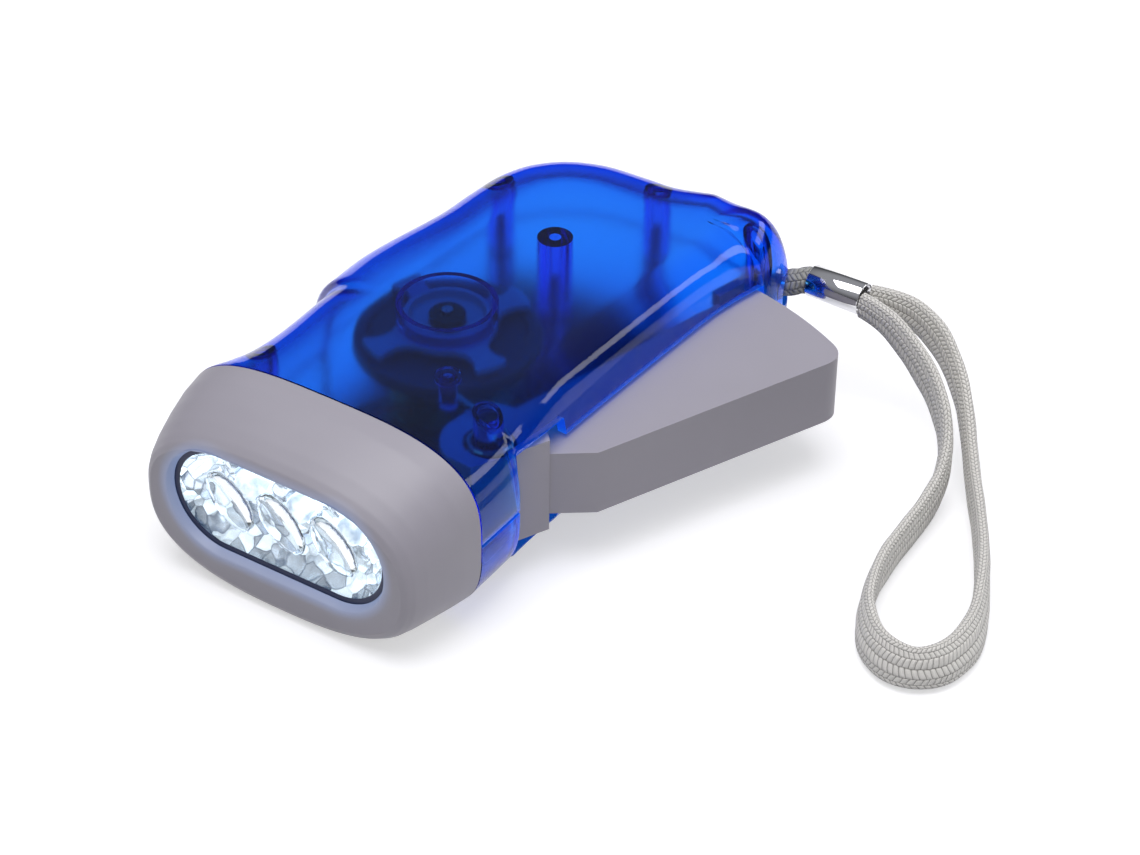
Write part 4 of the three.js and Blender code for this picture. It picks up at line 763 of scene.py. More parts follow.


# The head bezel is one moulding in warm grey plastic, satin, with a softly rounded front and an
# oval opening, and a painted glow of diode light on its lip. A thin spigot behind it slides into
# the shells.
grey_finish = grained("warm_grey_plastic", (0.365, 0.348, 0.392), 0.42, 0, 0.35, 0.012, 0.03, 0.25)
# The grey plastic carries a painted glow of diode light, bluish, wherever a point of the bezel's lip is
# marked for it.
painted_lamplight = put(grey_finish.node_tree, "ShaderNodeAttribute", attribute_name="painted_lamplight").outputs["Fac"]
feed(grey_finish.node_tree.nodes["Principled BSDF"], {
    "Emission Color": blend(painted_lamplight, (0, 0, 0), (0.06, 0.12, 0.26)), "Emission Strength": 1})
light_half_length = 21.07
light_half_height = 9.78
light_straight = light_half_length - light_half_height
head_steps = 160
section_shares = [
    (0, 0.86, 0.82, 0.055), (0.04, 0.89, 0.85, 0.022), (0.12, 0.913, 0.877, 0.004),
    (0.27, 0.937, 0.913, 0), (0.5, 0.963, 0.955, 0), (0.75, 0.986, 0.987, 0), (1, 1, 1, 0),
]


def light_outline(grow, steps):
    """The light's outline, straight above and below and round at both ends."""
    radius = light_half_height + grow
    straight = light_straight
    length = 4 * straight + 2 * math.pi * radius
    points = []
    for i in range(steps):
        s = i / steps * length
        if s < math.pi * radius:
            turn = s / radius - math.pi / 2
            points.append((straight + radius * math.cos(turn), radius * math.sin(turn)))
        elif s < math.pi * radius + 2 * straight:
            points.append((straight - (s - math.pi * radius), radius))
        elif s < 2 * math.pi * radius + 2 * straight:
            turn = (s - math.pi * radius - 2 * straight) / radius + math.pi / 2
            points.append((-straight + radius * math.cos(turn), radius * math.sin(turn)))
        else:
            points.append((-straight + (s - 2 * math.pi * radius - 2 * straight), -radius))
    return np.array(points)


head_angles = np.unwrap(np.arctan2(*light_outline(0, head_steps).T[::-1]))


def by_angle(outline):
    """An outline round the light's middle, as its reach at each of the head's angles."""
    angle = np.arctan2(outline[:, 1], outline[:, 0])
    order = np.argsort(angle)
    return np.interp(head_angles, angle[order], np.hypot(*outline[order].T), period=2 * math.pi)


def head_outline(share, inset):
    """The bezel's outline at a share of the way from its front to the seam."""
    spots = np.array([s[0] for s in section_shares])
    values = [np.interp(share, spots, [s[k] for s in section_shares]) for k in (1, 2, 3)]
    width, top, bottom = values[0] * half_head, values[1] * body_thickness, values[2] * body_thickness
    power = 2.6 + (3.2 - 2.6) * share
    angle = np.linspace(0, 2 * math.pi, 720, endpoint=False)
    across = squared(np.cos(angle), power) * (width - inset)
    rise = squared(np.sin(angle), power) * ((top - bottom) / 2 - inset)
    return np.stack([across + half_head * 0.024 * share, rise + (top + bottom) / 2 - mid], axis=1)


def ring_points(reach, y):
    """A ring round the light's middle, from its reach at each of the head's angles."""
    return [(r * math.cos(a), y, mid + r * math.sin(a)) for r, a in zip(reach, head_angles)]


def looped_rings(name, rings, finish, smooth_angle):
    """A closed piece through rings that return to the first."""
    count, sides = len(rings), len(rings[0])
    faces = []
    for i in range(count):
        k = (i + 1) % count
        for j in range(sides):
            m = (j + 1) % sides
            faces.append((i * sides + j, i * sides + m, k * sides + m, k * sides + j))
    return solid(name, [at(*p) for ring in rings for p in ring], faces, finish, smooth_angle)


bezel_back = 15.25
skin = [(by_angle(head_outline(t, 0)), t * bezel_back) for t in np.linspace(0, 1, 44) ** 1.6]
front = by_angle(head_outline(0, 0))
opening = by_angle(light_outline(0.9, 400))
front_edge = [(front * (1 - k) + opening * k, -0.0) for k in (0.08, 0.25, 0.5, 0.7, 0.9)]
lip = [(by_angle(light_outline(g, 400)), y) for g, y in (
    (0.78, 0.0), (0.62, 0.06), (0.5, 0.2), (0.12, 1.3), (0.0, 1.5), (0.04, 1.6), (1.2, 1.62), (1.2, 6.1))]
chamber = np.minimum(by_angle(light_outline(3.3, 400)), by_angle(head_outline(1, 4.4)))
inside = [(chamber, y) for y in (6.1, 6.3, 11.8)]
spigot = [(by_angle(head_outline(1, inset)), y) for inset, y in (
    (4.7, 11.9), (4.7, 16.4), (4.5, 16.5), (3.4, 16.5), (3.26, 16.35), (3.26, bezel_back),
    (0.25, bezel_back))]
profile = list(reversed(skin)) + front_edge + lip + inside + spigot
bezel = looped_rings("grey_bezel", [ring_points(reach, y) for reach, y in profile], grey_finish, 42)
# The painted glow of diode light on the bezel's lip fades out within a few millimetres of the opening, at its
# front.
painted_glow_width = 2.2
painted_glow_depth = 1.7
painted_glow_mark = bezel.data.attributes.new("painted_lamplight", "FLOAT", "POINT")
for i, vertex in enumerate(bezel.data.vertices):
    place = vertex.co / MM
    from_opening = math.hypot(max(abs(place.x) - light_straight, 0), place.z - mid) - light_half_height
    painted_glow_mark.data[i].value = max(0, 1 - max(from_opening, 0) / painted_glow_width) if place.y + axle_y < painted_glow_depth else 0
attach(bezel, "torch_body")
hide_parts("head_bezel")


# The front lens, the plated reflector and the three clear diodes. The lens has a slanting oval
# bulge over each diode and sits against a thin dark ring behind the bezel's lip, a painted shade
# that stands in for the shadowed gap between the lip and the lens. The reflector is a shallow
# crinkled bowl with a cup round each diode.
diode_places = (-10.3, 0.0, 10.3)


def light_grid(grow, spacing, circles):
    """Points and triangles that fill the light's outline, with rings round each diode."""
    edge = light_outline(grow, 132)
    radius = light_half_height + grow
    points = [Vector(p) for p in edge]
    for middle in diode_places:
        points.append(Vector((middle, 0)))
        for circle in circles:
            for i in range(36):
                angle = 2 * math.pi * (i + 0.5 * (circles.index(circle) % 2)) / 36
                points.append(Vector((middle + circle * math.cos(angle), circle * math.sin(angle))))
    for x in np.arange(-light_half_length, light_half_length, spacing):
        for z in np.arange(-radius, radius, spacing):
            shift = spacing / 2 if int(round((z + radius) / spacing)) % 2 else 0
            from_edge = radius - math.hypot(max(abs(x + shift) - light_straight, 0), z)
            clear = all(math.hypot(x + shift - m, z) > max(circles) + spacing * 0.6 for m in diode_places)
            if from_edge > spacing * 0.6 and clear:
                points.append(Vector((x + shift, z)))
    count = len(edge)
    border = [(i, (i + 1) % count) for i in range(count)]
    found, _, triangles, *_ = delaunay_2d_cdt(points, border, [], 1, 0.001)
    return np.array([tuple(p) for p in found]), [tuple(t) for t in triangles], count


def double_face(name, grid, front_y, back_y, finish, smooth_angle):
    """A plate with its own height in front and behind, closed round its rim."""
    flat, triangles, count = grid
    near = [at(x, y, mid + z) for (x, z), y in zip(flat, front_y)]
    far = [at(x, y, mid + z) for (x, z), y in zip(flat, back_y)]
    total = len(flat)
    faces = triangles + [tuple(i + total for i in reversed(t)) for t in triangles]
    faces += [(i, (i + 1) % count, (i + 1) % count + total, i + total) for i in range(count)]
    return solid(name, near + far, faces, finish, smooth_angle)


def crinkle_group():
    """Moulded crinkles, as on a plated reflector and its lens: facets and fine creases."""
    group, given = new_group("crinkle", {"Facet": 1.6})
    place = put(group, "ShaderNodeTexCoord").outputs["Object"]
    bend = put(group, "ShaderNodeTexNoise", {"Vector": place, "Scale": 170, "Detail": 1}).outputs[1]
    moved = put(group, "ShaderNodeMix", {0: 0.0042, 4: place, 5: bend}, data_type="VECTOR").outputs[1]
    scale = sums("DIVIDE", 1000, given["Facet"])
    cells, edges = (put(group, "ShaderNodeTexVoronoi", {"Vector": moved, "Scale": scale}, feature=kind)
                    for kind in ("F1", "DISTANCE_TO_EDGE"))
    crease = ranged(edges.outputs["Distance"], 0.0, 0.07, 1.0, 0.0)
    shade = put(group, "ShaderNodeSeparateColor", {0: cells.outputs["Color"]})
    return ended(group, {"Height": cells.outputs["Distance"], "Crease": crease, "Patch": shade.outputs[0]})


crinkle = crinkle_group()

# The plated reflector carries painted light: its facets glow as painted reflections, in random patches and
# brighter towards the top, and its creases are painted darker as shade.
mirror_finish, tree, shader = material("plated_reflector")
facets = put(tree, "ShaderNodeGroup", {"Facet": 3.1}, node_tree=crinkle)
spot = put(tree, "ShaderNodeSeparateXYZ", {0: put(tree, "ShaderNodeTexCoord").outputs["Object"]})
painted_top_glow = ranged(spot.outputs[2], 20 * MM, 27 * MM, 0.0, 0.7, "SMOOTHSTEP")
painted_glints = ranged(facets.outputs["Patch"], 0.3, 0.85)
painted_reflection = ranged(sums("ADD", painted_glints, painted_top_glow), 0.0, 1.0)
feed(shader, {
    "Base Color": blend(facets.outputs["Crease"], (0.93, 0.96, 1), (0.2, 0.24, 0.32)),
    "Metallic": 1, "Roughness": 0.16,
    "Emission Color": blend(painted_reflection, (0.05, 0.075, 0.11), (0.8, 0.92, 1)), "Emission Strength": 0.9})
bumped(shader, facets.outputs["Height"], 1.0, 0.6)

grid_grow = 0.85
grid = light_grid(grid_grow, 0.7, (2.85, 3.3, 3.75, 4.3, 4.8))
flat = grid[0]
from_edge = (light_half_height + grid_grow
             - np.hypot(np.maximum(np.abs(flat[:, 0]) - light_straight, 0), flat[:, 1]))
bowl = np.clip((from_edge - grid_grow) / 4.1, 0, 1) * 5.3
from_diode = np.min([np.hypot(flat[:, 0] - m, flat[:, 1]) for m in diode_places], axis=0)
cup = np.interp(from_diode, (2.85, 3.75, 4.75, 4.76), (7.5, 5.6, 2.6, 0))
depth = np.maximum(bowl, np.where(from_diode < 4.75, cup, 0))
reflector = double_face("plated_bowl", grid, 3.4 + depth, np.full(len(flat), 12.0), mirror_finish, 25)
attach(reflector, "torch_body")
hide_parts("reflector")

lens_finish, tree, shader = material("clear_lens_plastic")
feed(shader, {"Base Color": (0.94, 0.98, 1, 1), "Transmission Weight": 1, "Roughness": 0.02, "IOR": 1.46})
facets = put(tree, "ShaderNodeGroup", {"Facet": 2.4}, node_tree=crinkle)
bumped(shader, facets.outputs["Height"], 0.25, 0.12)
lit_through(shader, (0.9, 0.95, 1))
leaf_half_length = 5.4
leaf_half_width = 3.2
leaf_lean = math.radians(-49)
leaf_rise = 1.15
grid = light_grid(grid_grow, 0.42, (1.2,))
flat = grid[0]
rise = np.zeros(len(flat))
for middle in diode_places:
    away = flat - [middle, 0]
    length_way = (away[:, 0] * math.cos(leaf_lean) + away[:, 1] * math.sin(leaf_lean)) / leaf_half_length
    width_way = (away[:, 1] * math.cos(leaf_lean) - away[:, 0] * math.sin(leaf_lean)) / leaf_half_width
    rise = np.maximum(rise, np.sqrt(np.clip(1 - length_way ** 2 - width_way ** 2, 0, 1)) * leaf_rise)
lens = double_face("oval_lens", grid, 1.92 - rise, 3.08 + rise * 0.6, lens_finish, 30)
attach(lens, "torch_body")
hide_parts("front_lens")

# A thin dark ring between the bezel's lip and the lens: painted shade standing in for the shadowed gap
# between them.
shade_ring_finish = grained("navy_shade_ring", (0.012, 0.02, 0.07), 0.45, 0, 0.3, 0.008, 0.05, 0.1)
shade_ring = looped_rings("lens_shade_ring", [ring_points(by_angle(light_outline(g, 400)), y) for g, y in (
    (-0.82, 1.66), (-0.9, 1.72), (-0.9, 1.84), (-0.82, 1.89),
    (0.7, 1.89), (0.78, 1.84), (0.78, 1.72), (0.7, 1.66))], shade_ring_finish, 50)
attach(shade_ring, "torch_body")

diode_finish, tree, shader = material("lit_diode")
place = put(tree, "ShaderNodeTexCoord").outputs["Object"]
speckle = put(tree, "ShaderNodeTexNoise", {"Vector": place, "Scale": 420, "Detail": 2})
streak = ranged(speckle.outputs[0], 0.4, 0.6)
feed(shader, {
    "Base Color": (0.9, 0.95, 1, 1), "Roughness": 0.1,
    "Emission Color": blend(streak, (0.16, 0.24, 0.36), (0.85, 0.95, 1)), "Emission Strength": 0.9})
dome = [(2.5 * math.cos(a), 4.4 + 2.5 * math.sin(a)) for a in np.linspace(0, math.pi / 2, 12)[:-1]]
diode_profile = [(0, 0), (2.75, 0), (2.9, 0.15), (2.9, 0.65), (2.75, 0.8), (2.5, 0.8)] + dome + [(0, 6.9)]
for side, x in zip(("left", "center", "right"), diode_places):
    diode = lathe(f"diode_{side}", diode_profile, (x, 12.24, mid), diode_finish, 48, axis=(0, -1, 0))
    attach(diode, "torch_body")
    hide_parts(f"led_{side}")


# The lever is moulded in the same warm grey plastic as the bezel: a thick hollow arm with a
# rounded outer corner, a taller round knuckle about the pivot pin, and a toothed sector below.
lever_reach = 66
lever_thickness = 12.3
lever_skin = 2
knuckle_thickness = 18.3
knuckle_radius = 10.1
knuckle_flat = 4.26
flat_heading = -25.6
palm_radius = 7.8
lip_depth = 1.6
sector_low = 6.78


def polar(radius, degrees):
    """A place at a distance and a heading."""
    return np.array([math.cos(math.radians(degrees)), math.sin(math.radians(degrees))]) * radius


def arc(radius, start, end, steps):
    """Places on an arc, from one heading to another."""
    return [tuple(polar(radius, d)) for d in np.linspace(start, end, steps)]


def slab(name, outline, low, high, finish):
    """A flat-sided piece between two heights, from its outline about the lever's pivot."""
    count = len(outline)
    points = [at(x + pivot[0], y + pivot[1], z) for z in (low, high) for x, y in outline]
    faces = [tuple(reversed(range(count))), tuple(range(count, 2 * count))]
    faces += [(i, (i + 1) % count, (i + 1) % count + count, i + count) for i in range(count)]
    return solid(name, points, faces, finish, 30)


def applied(piece, step):
    """Makes a piece's one modifier final."""
    bpy.context.view_layer.update()
    result = bpy.data.meshes.new_from_object(piece.evaluated_get(bpy.context.evaluated_depsgraph_get()))
    piece.modifiers.remove(step)
    piece.data = result
    return result


def combined(base, tool, operation):
    """The base after one exact cut or join. The tool is used up."""
    step = base.modifiers.new("cut", "BOOLEAN")
    step.operation = operation
    step.solver = "EXACT"
    step.object = tool
    applied(base, step)
    bpy.data.objects.remove(tool)
    return base


def softened(piece, width, angle, hardened):
    """Rounds a piece's sharp edges, by a width in millimetres."""
    soften = piece.modifiers.new("rounded edges", "BEVEL")
    soften.width = width * MM
    soften.segments = 3
    soften.limit_method = "ANGLE"
    soften.angle_limit = math.radians(angle)
    soften.harden_normals = hardened
    shaded(piece.data, 40)


def rod(radius, low, high, x, y, finish):
    """A plain upright rod, to join to a piece or to cut from it."""
    return lathe("rod", [(0, low), (radius, low), (radius, high), (0, high)], (x, y, 0), finish, 48)


inner_heading = math.degrees(math.atan2(0.991, 0.135))
outer_heading = math.degrees(math.atan2(0.8574, 0.5138))
arm_root = np.array([-0.067, 0.152]) * lever_reach


def arm_outline(inset):
    """The arm's outline about the pivot, or at an inset the outline of its hollow, which opens
    towards the body."""
    reach = lever_reach - inset
    bend = np.array([0.2111, 0.1721]) * lever_reach
    outer_root = np.array([0.1166, 0.1028]) * lever_reach
    corner = max(4 - inset, 0.1)
    run = polar(reach, outer_heading) - bend
    run = run / np.linalg.norm(run)
    aside = np.array([-run[1], run[0]]) * inset
    tip = polar(reach, outer_heading) + aside
    turned = outer_heading + math.degrees(corner / reach)
    before = polar(reach, turned)
    after = tip - run * corner
    turn = [(1 - t) ** 2 * before + 2 * t * (1 - t) * tip + t * t * after for t in np.linspace(0, 1, 13)[1:]]
    points = [arm_root]
    if inset:
        points = [arm_root - [6, 0], polar(reach, inner_heading) - [6, 0]]
    points += arc(reach, inner_heading, turned, 20)
    points += turn + [bend + aside, outer_root + aside, np.zeros(2)]
    return [tuple(p) for p in points]


half_lever = lever_thickness / 2
arm = slab("grey_lever", arm_outline(0), mid - half_lever, mid + half_lever, grey_finish)
pocket = slab("pocket", arm_outline(lever_skin), mid - half_lever + lever_skin,
              mid + half_lever - lever_skin, grey_finish)
gate_low = knuckle_radius + lever_skin
gate = slab("gate", [(-80, gate_low), (80, gate_low), (80, 90), (-80, 90)], 0, body_thickness, grey_finish)
arm = combined(arm, combined(pocket, gate, "INTERSECT"), "DIFFERENCE")
flat_half = math.degrees(math.acos(knuckle_flat / knuckle_radius))
toe = polar(knuckle_flat, flat_heading) + polar(palm_radius * 0.75, flat_heading - 90)
knuckle_outline = arc(knuckle_radius, flat_heading + flat_half, 135, 30)
knuckle_outline += arc(palm_radius, 165, 245, 24) + [tuple(toe)]
knuckle = slab("knuckle", knuckle_outline, mid - knuckle_thickness / 2, mid + knuckle_thickness / 2,
               grey_finish)
arm = combined(arm, knuckle, "UNION")
lip_end = polar(lever_reach - lip_depth, inner_heading)
lip_run = lip_end - arm_root
lip_run = lip_run / np.linalg.norm(lip_run)
lip_start = lip_end - lip_run * lever_thickness / 2
lip_in = np.array([-lip_run[1], lip_run[0]]) * lip_depth
lip_corners = [lip_start - lip_in * 0.2, lip_end - lip_in * 0.2, lip_end + lip_in, lip_start + lip_in]
stop_lip = slab("stop_lip", [tuple(p) for p in lip_corners], mid - half_lever - 1.5, mid + half_lever + 1.5,
                grey_finish)
arm = combined(arm, stop_lip, "UNION")
arm = combined(arm, rod(2.56, sector_low, 9.95, *pivot, grey_finish), "UNION")


def tooth_outline(teeth, module, start, first, last):
    """Gear teeth with curved flanks, from the first tooth to the last."""
    pitch = teeth * module / 2
    pressure = math.radians(22)
    base = pitch * math.cos(pressure)
    half = math.pi / teeth * 0.4
    spread = math.tan(pressure) - pressure
    flank = []
    for radius in np.linspace(pitch - 1.05 * module, pitch + 0.85 * module, 6):
        turned_by = math.tan(math.acos(base / radius)) - math.acos(base / radius) if radius > base else 0
        flank.append((radius, half + spread - turned_by))
    points = []
    for tooth in range(first, last + 1):
        centre = start + tooth * 2 * math.pi / teeth
        points += [(r * math.cos(centre - h), r * math.sin(centre - h)) for r, h in flank]
        points += [(r * math.cos(centre + h), r * math.sin(centre + h)) for r, h in reversed(flank)]
    return points


sector_teeth = 35
first_angle = math.radians(155.7)
tooth_turn = 2 * math.pi / sector_teeth
sector_root = sector_teeth / 2 - 1.05
sector_ends = []
for teeth_away in (-3.7, 1.7):
    heading = first_angle + teeth_away * tooth_turn
    sector_ends.append((sector_root * math.cos(heading), sector_root * math.sin(heading)))
sector_teeth_outline = tooth_outline(sector_teeth, 1, first_angle, -3, 1)
sector = slab("sector", [(0, 0), sector_ends[0]] + sector_teeth_outline + [sector_ends[1]],
              sector_low, 8.17, grey_finish)
arm = combined(arm, sector, "UNION")
arm = combined(arm, rod(1.66, -5, 40, *pivot, grey_finish), "DIFFERENCE")
lever = combined(arm, rod(4.2, 22.4, 40, *pivot, grey_finish), "DIFFERENCE")
softened(lever, 0.38, 35, True)
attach(lever, "lever_body")
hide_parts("lever")


def dress(finish, *names):
    """Gives nodes of the frame their finish."""
    for name in names:
        for place in nodes[name].material_slots:
            place.material = finish


# The gears are moulded in black acetal and turn on ground steel axles pressed into the lower shell.
# The wheel on the rotor's axle is a small brass pinion. The pivot pin and the spring are steel too.
acetal_finish = grained("black_acetal", (0.035, 0.036, 0.04), 0.36, 0, 0.25, 0.006, 0.1, 0.4)
steel_finish = grained("ground_steel", (0.62, 0.62, 0.64), 0.24, 1, 0.12, 0.003, 0.08, 0.6)
brass_finish = grained("turned_brass", (0.78, 0.56, 0.24), 0.26, 1, 0.15, 0.004, 0.08, 0.5)
dress(acetal_finish, "first_gear", "clutch_pinion", "clutch_wheel")
dress(steel_finish, "first_gear_axle", "clutch_axle", "rotor_axle", "lever_pivot_pin", "return_spring")
dress(brass_finish, "rotor_pinion")


# The generator: a blackened steel plate over the gears, two stamped rings of claws folded round a
# black bobbin, and a ferrite magnet on the axle.
blackened_finish = grained("blackened_steel", (0.05, 0.052, 0.06), 0.45, 0.6, 0.2, 0.005, 0.15, 0.7)
claw_finish = grained("stamped_steel", (0.42, 0.42, 0.44), 0.4, 1, 0.3, 0.01, 0.12, 0.7)
bobbin_finish = grained("black_bobbin_plastic", (0.025, 0.025, 0.028), 0.42, 0, 0.3, 0.008, 0.1, 0.2)
ferrite_finish = grained("dark_ferrite", (0.045, 0.043, 0.047), 0.6, 0.1, 0.5, 0.03, 0.2, 0.2)
dress(blackened_finish, "generator_plate")
dress(claw_finish, "stator_lower_claws", "stator_upper_claws")
dress(bobbin_finish, "coil_bobbin")
dress(ferrite_finish, "rotor_magnet")


def tree_of(name, inputs):
    """A new tree of geometry nodes with its inputs, given as names and numbers."""
    tree = bpy.data.node_groups.new(name, "GeometryNodeTree")
    tree.is_modifier = True
    tree.interface.new_socket("Geometry", in_out="INPUT", socket_type="NodeSocketGeometry")
    for key, value in inputs.items():
        whole = isinstance(value, int)
        kind = "NodeSocketInt" if whole else "NodeSocketFloat"
        tree.interface.new_socket(key, in_out="INPUT", socket_type=kind).default_value = value
    tree.interface.new_socket("Geometry", in_out="OUTPUT", socket_type="NodeSocketGeometry")
    return tree, put(tree, "NodeGroupInput").outputs


def grown(name, points, tree, result, finish, sizes):
    """The plain mesh that a tree of geometry nodes makes from some points."""
    instances = put(tree, "GeometryNodeRealizeInstances", {0: result})
    coated = put(tree, "GeometryNodeSetMaterial", {"Geometry": instances.outputs[0], "Material": finish})
    feed(put(tree, "NodeGroupOutput"), {0: coated.outputs[0]})
    mesh = bpy.data.meshes.new(name)
    mesh.from_pydata([tuple(p) for p in points], [], [])
    made = shown(name, mesh)
    step = made.modifiers.new(name, "NODES")
    step.node_group = tree
    sockets = {item.name: item.identifier for item in tree.interface.items_tree if item.in_out == "INPUT"}
    for key, value in sizes.items():
        step[sockets[key]] = value
    result = applied(made, step)
    shaded(result, 35)
    result.materials.clear()
    result.materials.append(finish)
    return made


def lifted(tree, geometry, height):
    """Geometry moved up by a height."""
    move = put(tree, "ShaderNodeCombineXYZ", {2: height}).outputs[0]
    return put(tree, "GeometryNodeTransform", {"Geometry": geometry, "Translation": move}).outputs[0]


def drum(tree, radius, depth, sides, rows=1):
    """A plain cylinder about the middle."""
    return put(tree, "GeometryNodeMeshCylinder", {
        "Vertices": sides, "Side Segments": rows, "Radius": radius, "Depth": depth}).outputs[0]


def wound(tree, radius, turns, height, wire_radius, steps, sides):
    """A round wire wound in a helix."""
    helix = put(tree, "GeometryNodeCurveSpiral", {
        "Resolution": steps, "Rotations": turns, "Start Radius": radius, "End Radius": radius,
        "Height": height})
    section = put(tree, "GeometryNodeCurvePrimitiveCircle", {"Resolution": sides, "Radius": wire_radius})
    return put(tree, "GeometryNodeCurveToMesh", {
        "Curve": helix.outputs[0], "Profile Curve": section.outputs[0], "Fill Caps": True}).outputs[0]


# The winding is enamelled copper wire, laid turn beside turn in several layers on the bobbin. The
# outer layer shows between the claws.
copper_finish = grained("enamelled_copper", (0.52, 0.2, 0.07), 0.22, 0.8, 0.2, 0.003, 0.12, 0.2)
sizes = {"Outer Radius": 10.1 * MM, "Inner Radius": 7.0 * MM, "Wire Radius": 0.17 * MM, "Height": 7.1 * MM,
         "Turns": 21}
tree, given = tree_of("wound_coil", sizes)
wire_middle = sums("SUBTRACT", given["Outer Radius"], given["Wire Radius"])
rise = sums("SUBTRACT", given["Height"], sums("MULTIPLY", given["Wire Radius"], 2))
wire = wound(tree, wire_middle, given["Turns"], rise, given["Wire Radius"], 40, 8)
layers = drum(tree, wire_middle, given["Height"], 64)
hollow = drum(tree, given["Inner Radius"], sums("MULTIPLY", given["Height"], 2), 64)
core = put(tree, "GeometryNodeMeshBoolean", {"Mesh 1": layers, "Mesh 2": hollow}, operation="DIFFERENCE")
whole = put(tree, "GeometryNodeJoinGeometry")
for part, height in ((core.outputs[0], sums("DIVIDE", given["Height"], 2)), (wire, given["Wire Radius"])):
    feed(whole, {0: lifted(tree, part, height)})
placed = lifted(tree, whole.outputs[0], 11.91 * MM)
winding = grown("copper_winding", [at(0, axle_y, 12)], tree, placed, copper_finish, sizes)
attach(winding, "torch_body")
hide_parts("coil_winding")


# The flywheel is a heavy black disc with a thick rim, on the rotor's axle over the generator.
flywheel_finish = grained("charcoal_plastic", (0.07, 0.07, 0.078), 0.5, 0, 0.3, 0.008, 0.06, 0.3)
flywheel = lathe("black_flywheel", [
    (1.06, 22.6), (1.16, 22.5), (2.9, 22.5), (3, 22.6), (3, 24.3), (15.6, 24.3), (15.9, 24.4),
    (16, 24.7), (16, 26.3), (15.9, 26.6), (15.6, 26.7), (13.9, 26.7), (13.6, 26.6), (13.4, 26.2),
    (13.2, 25.8), (12.8, 25.65), (5.2, 25.65), (4.9, 25.75), (4.7, 26), (4.3, 26.15), (3, 26.15),
    (1.16, 26.15), (1.06, 26.05),
], (0, axle_y, 0), flywheel_finish, 128, True)
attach(flywheel, "rotor")
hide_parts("flywheel")

# The bearing bracket is moulded in grey plastic: a disc with four arms that widen to rounded ends,
# held by a spigot in the ring under the upper shell. A dark sintered bush in it carries the axle.
bracket_finish = grained("grey_bracket_plastic", (0.4, 0.4, 0.42), 0.4, 0, 0.3, 0.008, 0.05, 0.2)
bush_finish = grained("sintered_bush", (0.09, 0.06, 0.04), 0.42, 0.7, 0.25, 0.01, 0.15, 0.3)
bracket_turn = 65
bracket_disc = 8.5
arm_reach = 14.9
arm_form = ((9.6, 2.3), (11, 2.0), (12.3, 2.1), (13.4, 2.5), (14.3, 3.0))
outline = []
for arm_index in range(4):
    heading = bracket_turn + 90 * arm_index
    outline += arc(bracket_disc, heading - 64, heading - 24, 6)
    outline += [polar(reach, heading - math.degrees(half / reach)) for reach, half in arm_form]
    outline += arc(arm_reach, heading - 10.4, heading + 10.4, 9)
    outline += [polar(reach, heading + math.degrees(half / reach)) for reach, half in reversed(arm_form)]
outline = [(x - pivot[0], y + axle_y - pivot[1]) for x, y in outline]
bracket = slab("bearing_plate", outline, 27.6, 28.9, bracket_finish)
ring = lathe("bracket_spigot", [(6.5, 28.5), (7.3, 28.5), (7.3, 30.6), (7.2, 30.7), (6.6, 30.7), (6.5, 30.6)],
             (0, axle_y, 0), bracket_finish, 72, True)
bracket = combined(bracket, ring, "UNION")
bracket = combined(bracket, rod(3.1, 20, 40, 0, axle_y, bracket_finish), "DIFFERENCE")
softened(bracket, 0.2, 50, False)
bush = lathe("sintered_bush", [
    (1.06, 27.7), (1.2, 27.6), (3, 27.6), (3.1, 27.7), (3.1, 30.5), (2.9, 30.7), (1.3, 30.7), (1.06, 30.5)],
    (0, axle_y, 0), bush_finish, 56, True)
for piece in (bracket, bush):
    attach(piece, "torch_body")
    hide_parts("bearing_bracket")


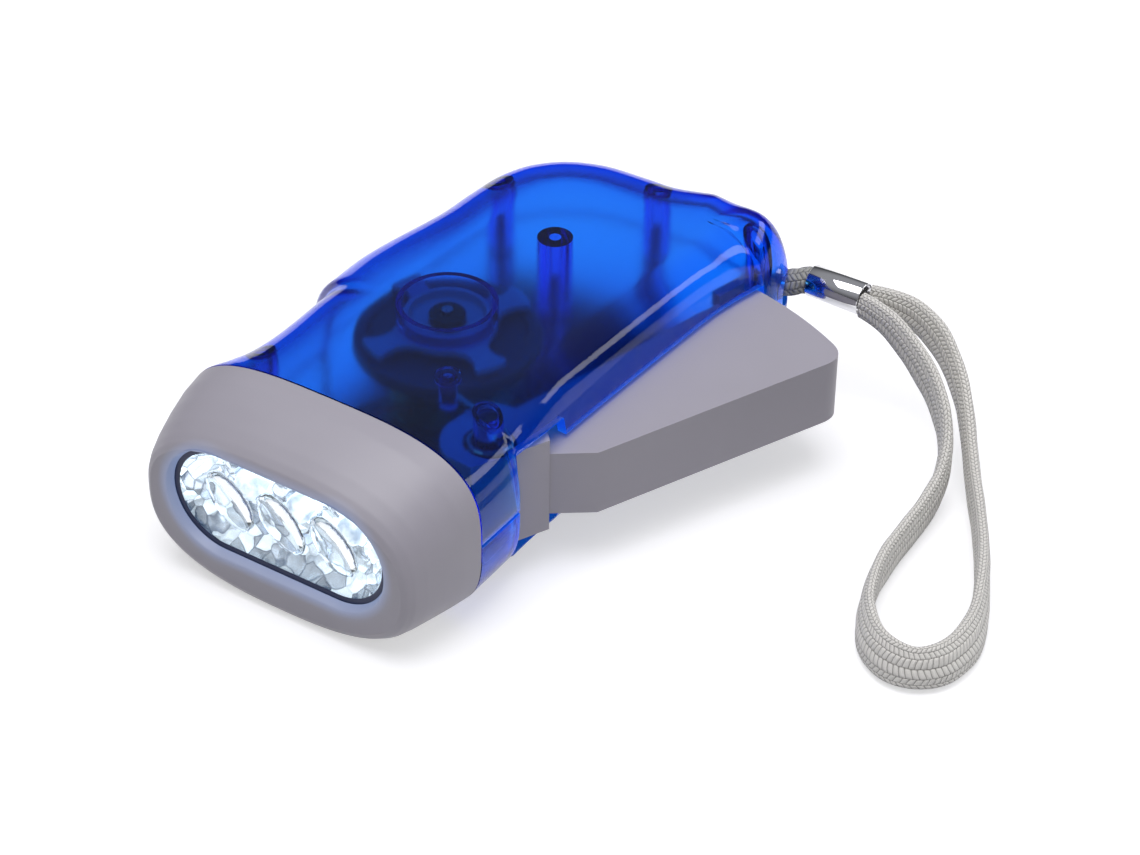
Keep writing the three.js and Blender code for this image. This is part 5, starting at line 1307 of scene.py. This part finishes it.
# The shells are held together by five cross-headed steel screws, driven in from below. Two shorter
# ones go down through the generator's plate and hold it on its posts.
def screw_set(name, places, shank_length, upwards, replaced):
    """Like screws at their places: a rounded head with a cross recess, and a threaded shank."""
    sizes = {"Head Radius": 1.9 * MM, "Head Height": 1.5 * MM, "Shank Radius": 0.88 * MM,
             "Shank Length": shank_length * MM, "Thread Turns": int(shank_length / 0.75),
             "Turn Over": 0.0 if upwards else math.pi}
    tree, given = tree_of(name, sizes)
    head_radius, head_height = given["Head Radius"], given["Head Height"]
    shank_radius, shank_reach = given["Shank Radius"], given["Shank Length"]
    head = drum(tree, head_radius, head_height, 32, 4)
    place = put(tree, "ShaderNodeSeparateXYZ", {0: put(tree, "GeometryNodeInputPosition").outputs[0]}).outputs
    share = sums("DIVIDE", place[2], head_height)
    outer_face = sums("MAXIMUM", sums("SUBTRACT", sums("MULTIPLY", share, -1), 0.1), 0)
    narrower = sums("SUBTRACT", 1, sums("MULTIPLY", sums("POWER", outer_face, 2), 1.4))
    rounded = put(tree, "ShaderNodeCombineXYZ", {
        0: sums("MULTIPLY", place[0], narrower), 1: sums("MULTIPLY", place[1], narrower), 2: place[2]})
    dome = put(tree, "GeometryNodeSetPosition", {"Geometry": head, "Position": rounded.outputs[0]})
    recessed = put(tree, "GeometryNodeMeshBoolean", {"Mesh 1": dome.outputs[0]}, operation="DIFFERENCE")
    long_side, short_side = (sums("MULTIPLY", head_radius, share) for share in (1.25, 0.3))
    floor = sums("MULTIPLY", head_height, -0.55)
    for across, up in ((long_side, short_side), (short_side, long_side)):
        size = put(tree, "ShaderNodeCombineXYZ", {0: across, 1: up, 2: head_height})
        bit = put(tree, "GeometryNodeMeshCube", {"Size": size.outputs[0]})
        feed(recessed, {"Mesh 2": lifted(tree, bit.outputs[0], floor)})
    half_height = sums("MULTIPLY", head_height, 0.5)
    half_shank = sums("MULTIPLY", shank_reach, 0.5)
    shank = lifted(tree, drum(tree, shank_radius, shank_reach, 20),
                   sums("ADD", half_height, sums("SUBTRACT", half_shank, 0.00002)))
    thread_reach = sums("MULTIPLY", shank_reach, 0.94)
    thread = wound(tree, shank_radius, given["Thread Turns"], thread_reach, 0.11 * MM, 18, 4)
    thread = lifted(tree, thread, sums("ADD", half_height, 0.0002))
    one = put(tree, "GeometryNodeJoinGeometry")
    for part in (thread, shank, recessed.outputs[0]):
        feed(one, {0: part})
    facing = put(tree, "ShaderNodeCombineXYZ", {0: given["Turn Over"]})
    each = put(tree, "GeometryNodeInstanceOnPoints", {
        "Points": given["Geometry"], "Instance": one.outputs[0], "Rotation": facing.outputs[0]})
    made = grown(name, places, tree, each.outputs[0], screw_finish, sizes)
    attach(made, "torch_body")
    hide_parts(*replaced)


screw_finish = grained("zinc_plated_steel", (0.56, 0.56, 0.58), 0.3, 1, 0.15, 0.004, 0.08, 0.5)
screw_set("shell_screws", [at(x, y, 3.45) for x, y, _ in bosses], 20.85, True,
          [f"shell_screw_{i}" for i in range(1, 6)])
screw_set("plate_screws", [at(3.76, 62.63, 10.51), at(-8.33, 60.49, 10.51)], 6.1, False,
          ["plate_screw_1", "plate_screw_2"])


# Three steel button cells stand in a row in a black cradle, pressed between two brass contacts. The
# leads are insulated copper wire, red and black, soldered to the green board behind the diodes.
cell_finish = grained("nickelled_can", (0.7, 0.7, 0.71), 0.22, 1, 0.2, 0.003, 0.06, 0.6)
contact_finish = grained("brass_strip", (0.75, 0.55, 0.26), 0.32, 1, 0.2, 0.005, 0.1, 0.5)
red_finish = grained("red_insulation", (0.5, 0.02, 0.015), 0.4, 0, 0.3, 0.006, 0.08, 0.1)
black_finish = grained("black_insulation", (0.02, 0.02, 0.022), 0.4, 0, 0.3, 0.006, 0.08, 0.1)
board_finish = grained("green_board", (0.02, 0.16, 0.06), 0.35, 0, 0.5, 0.01, 0.12, 0.2)
dress(cell_finish, "cell_1", "cell_2", "cell_3")
dress(bobbin_finish, "cell_holder")
dress(contact_finish, "cell_contact_left", "cell_contact_right")
dress(red_finish, "cell_lead_plus", "coil_lead_right")
dress(black_finish, "cell_lead_minus", "coil_lead_left")
dress(board_finish, "led_board")
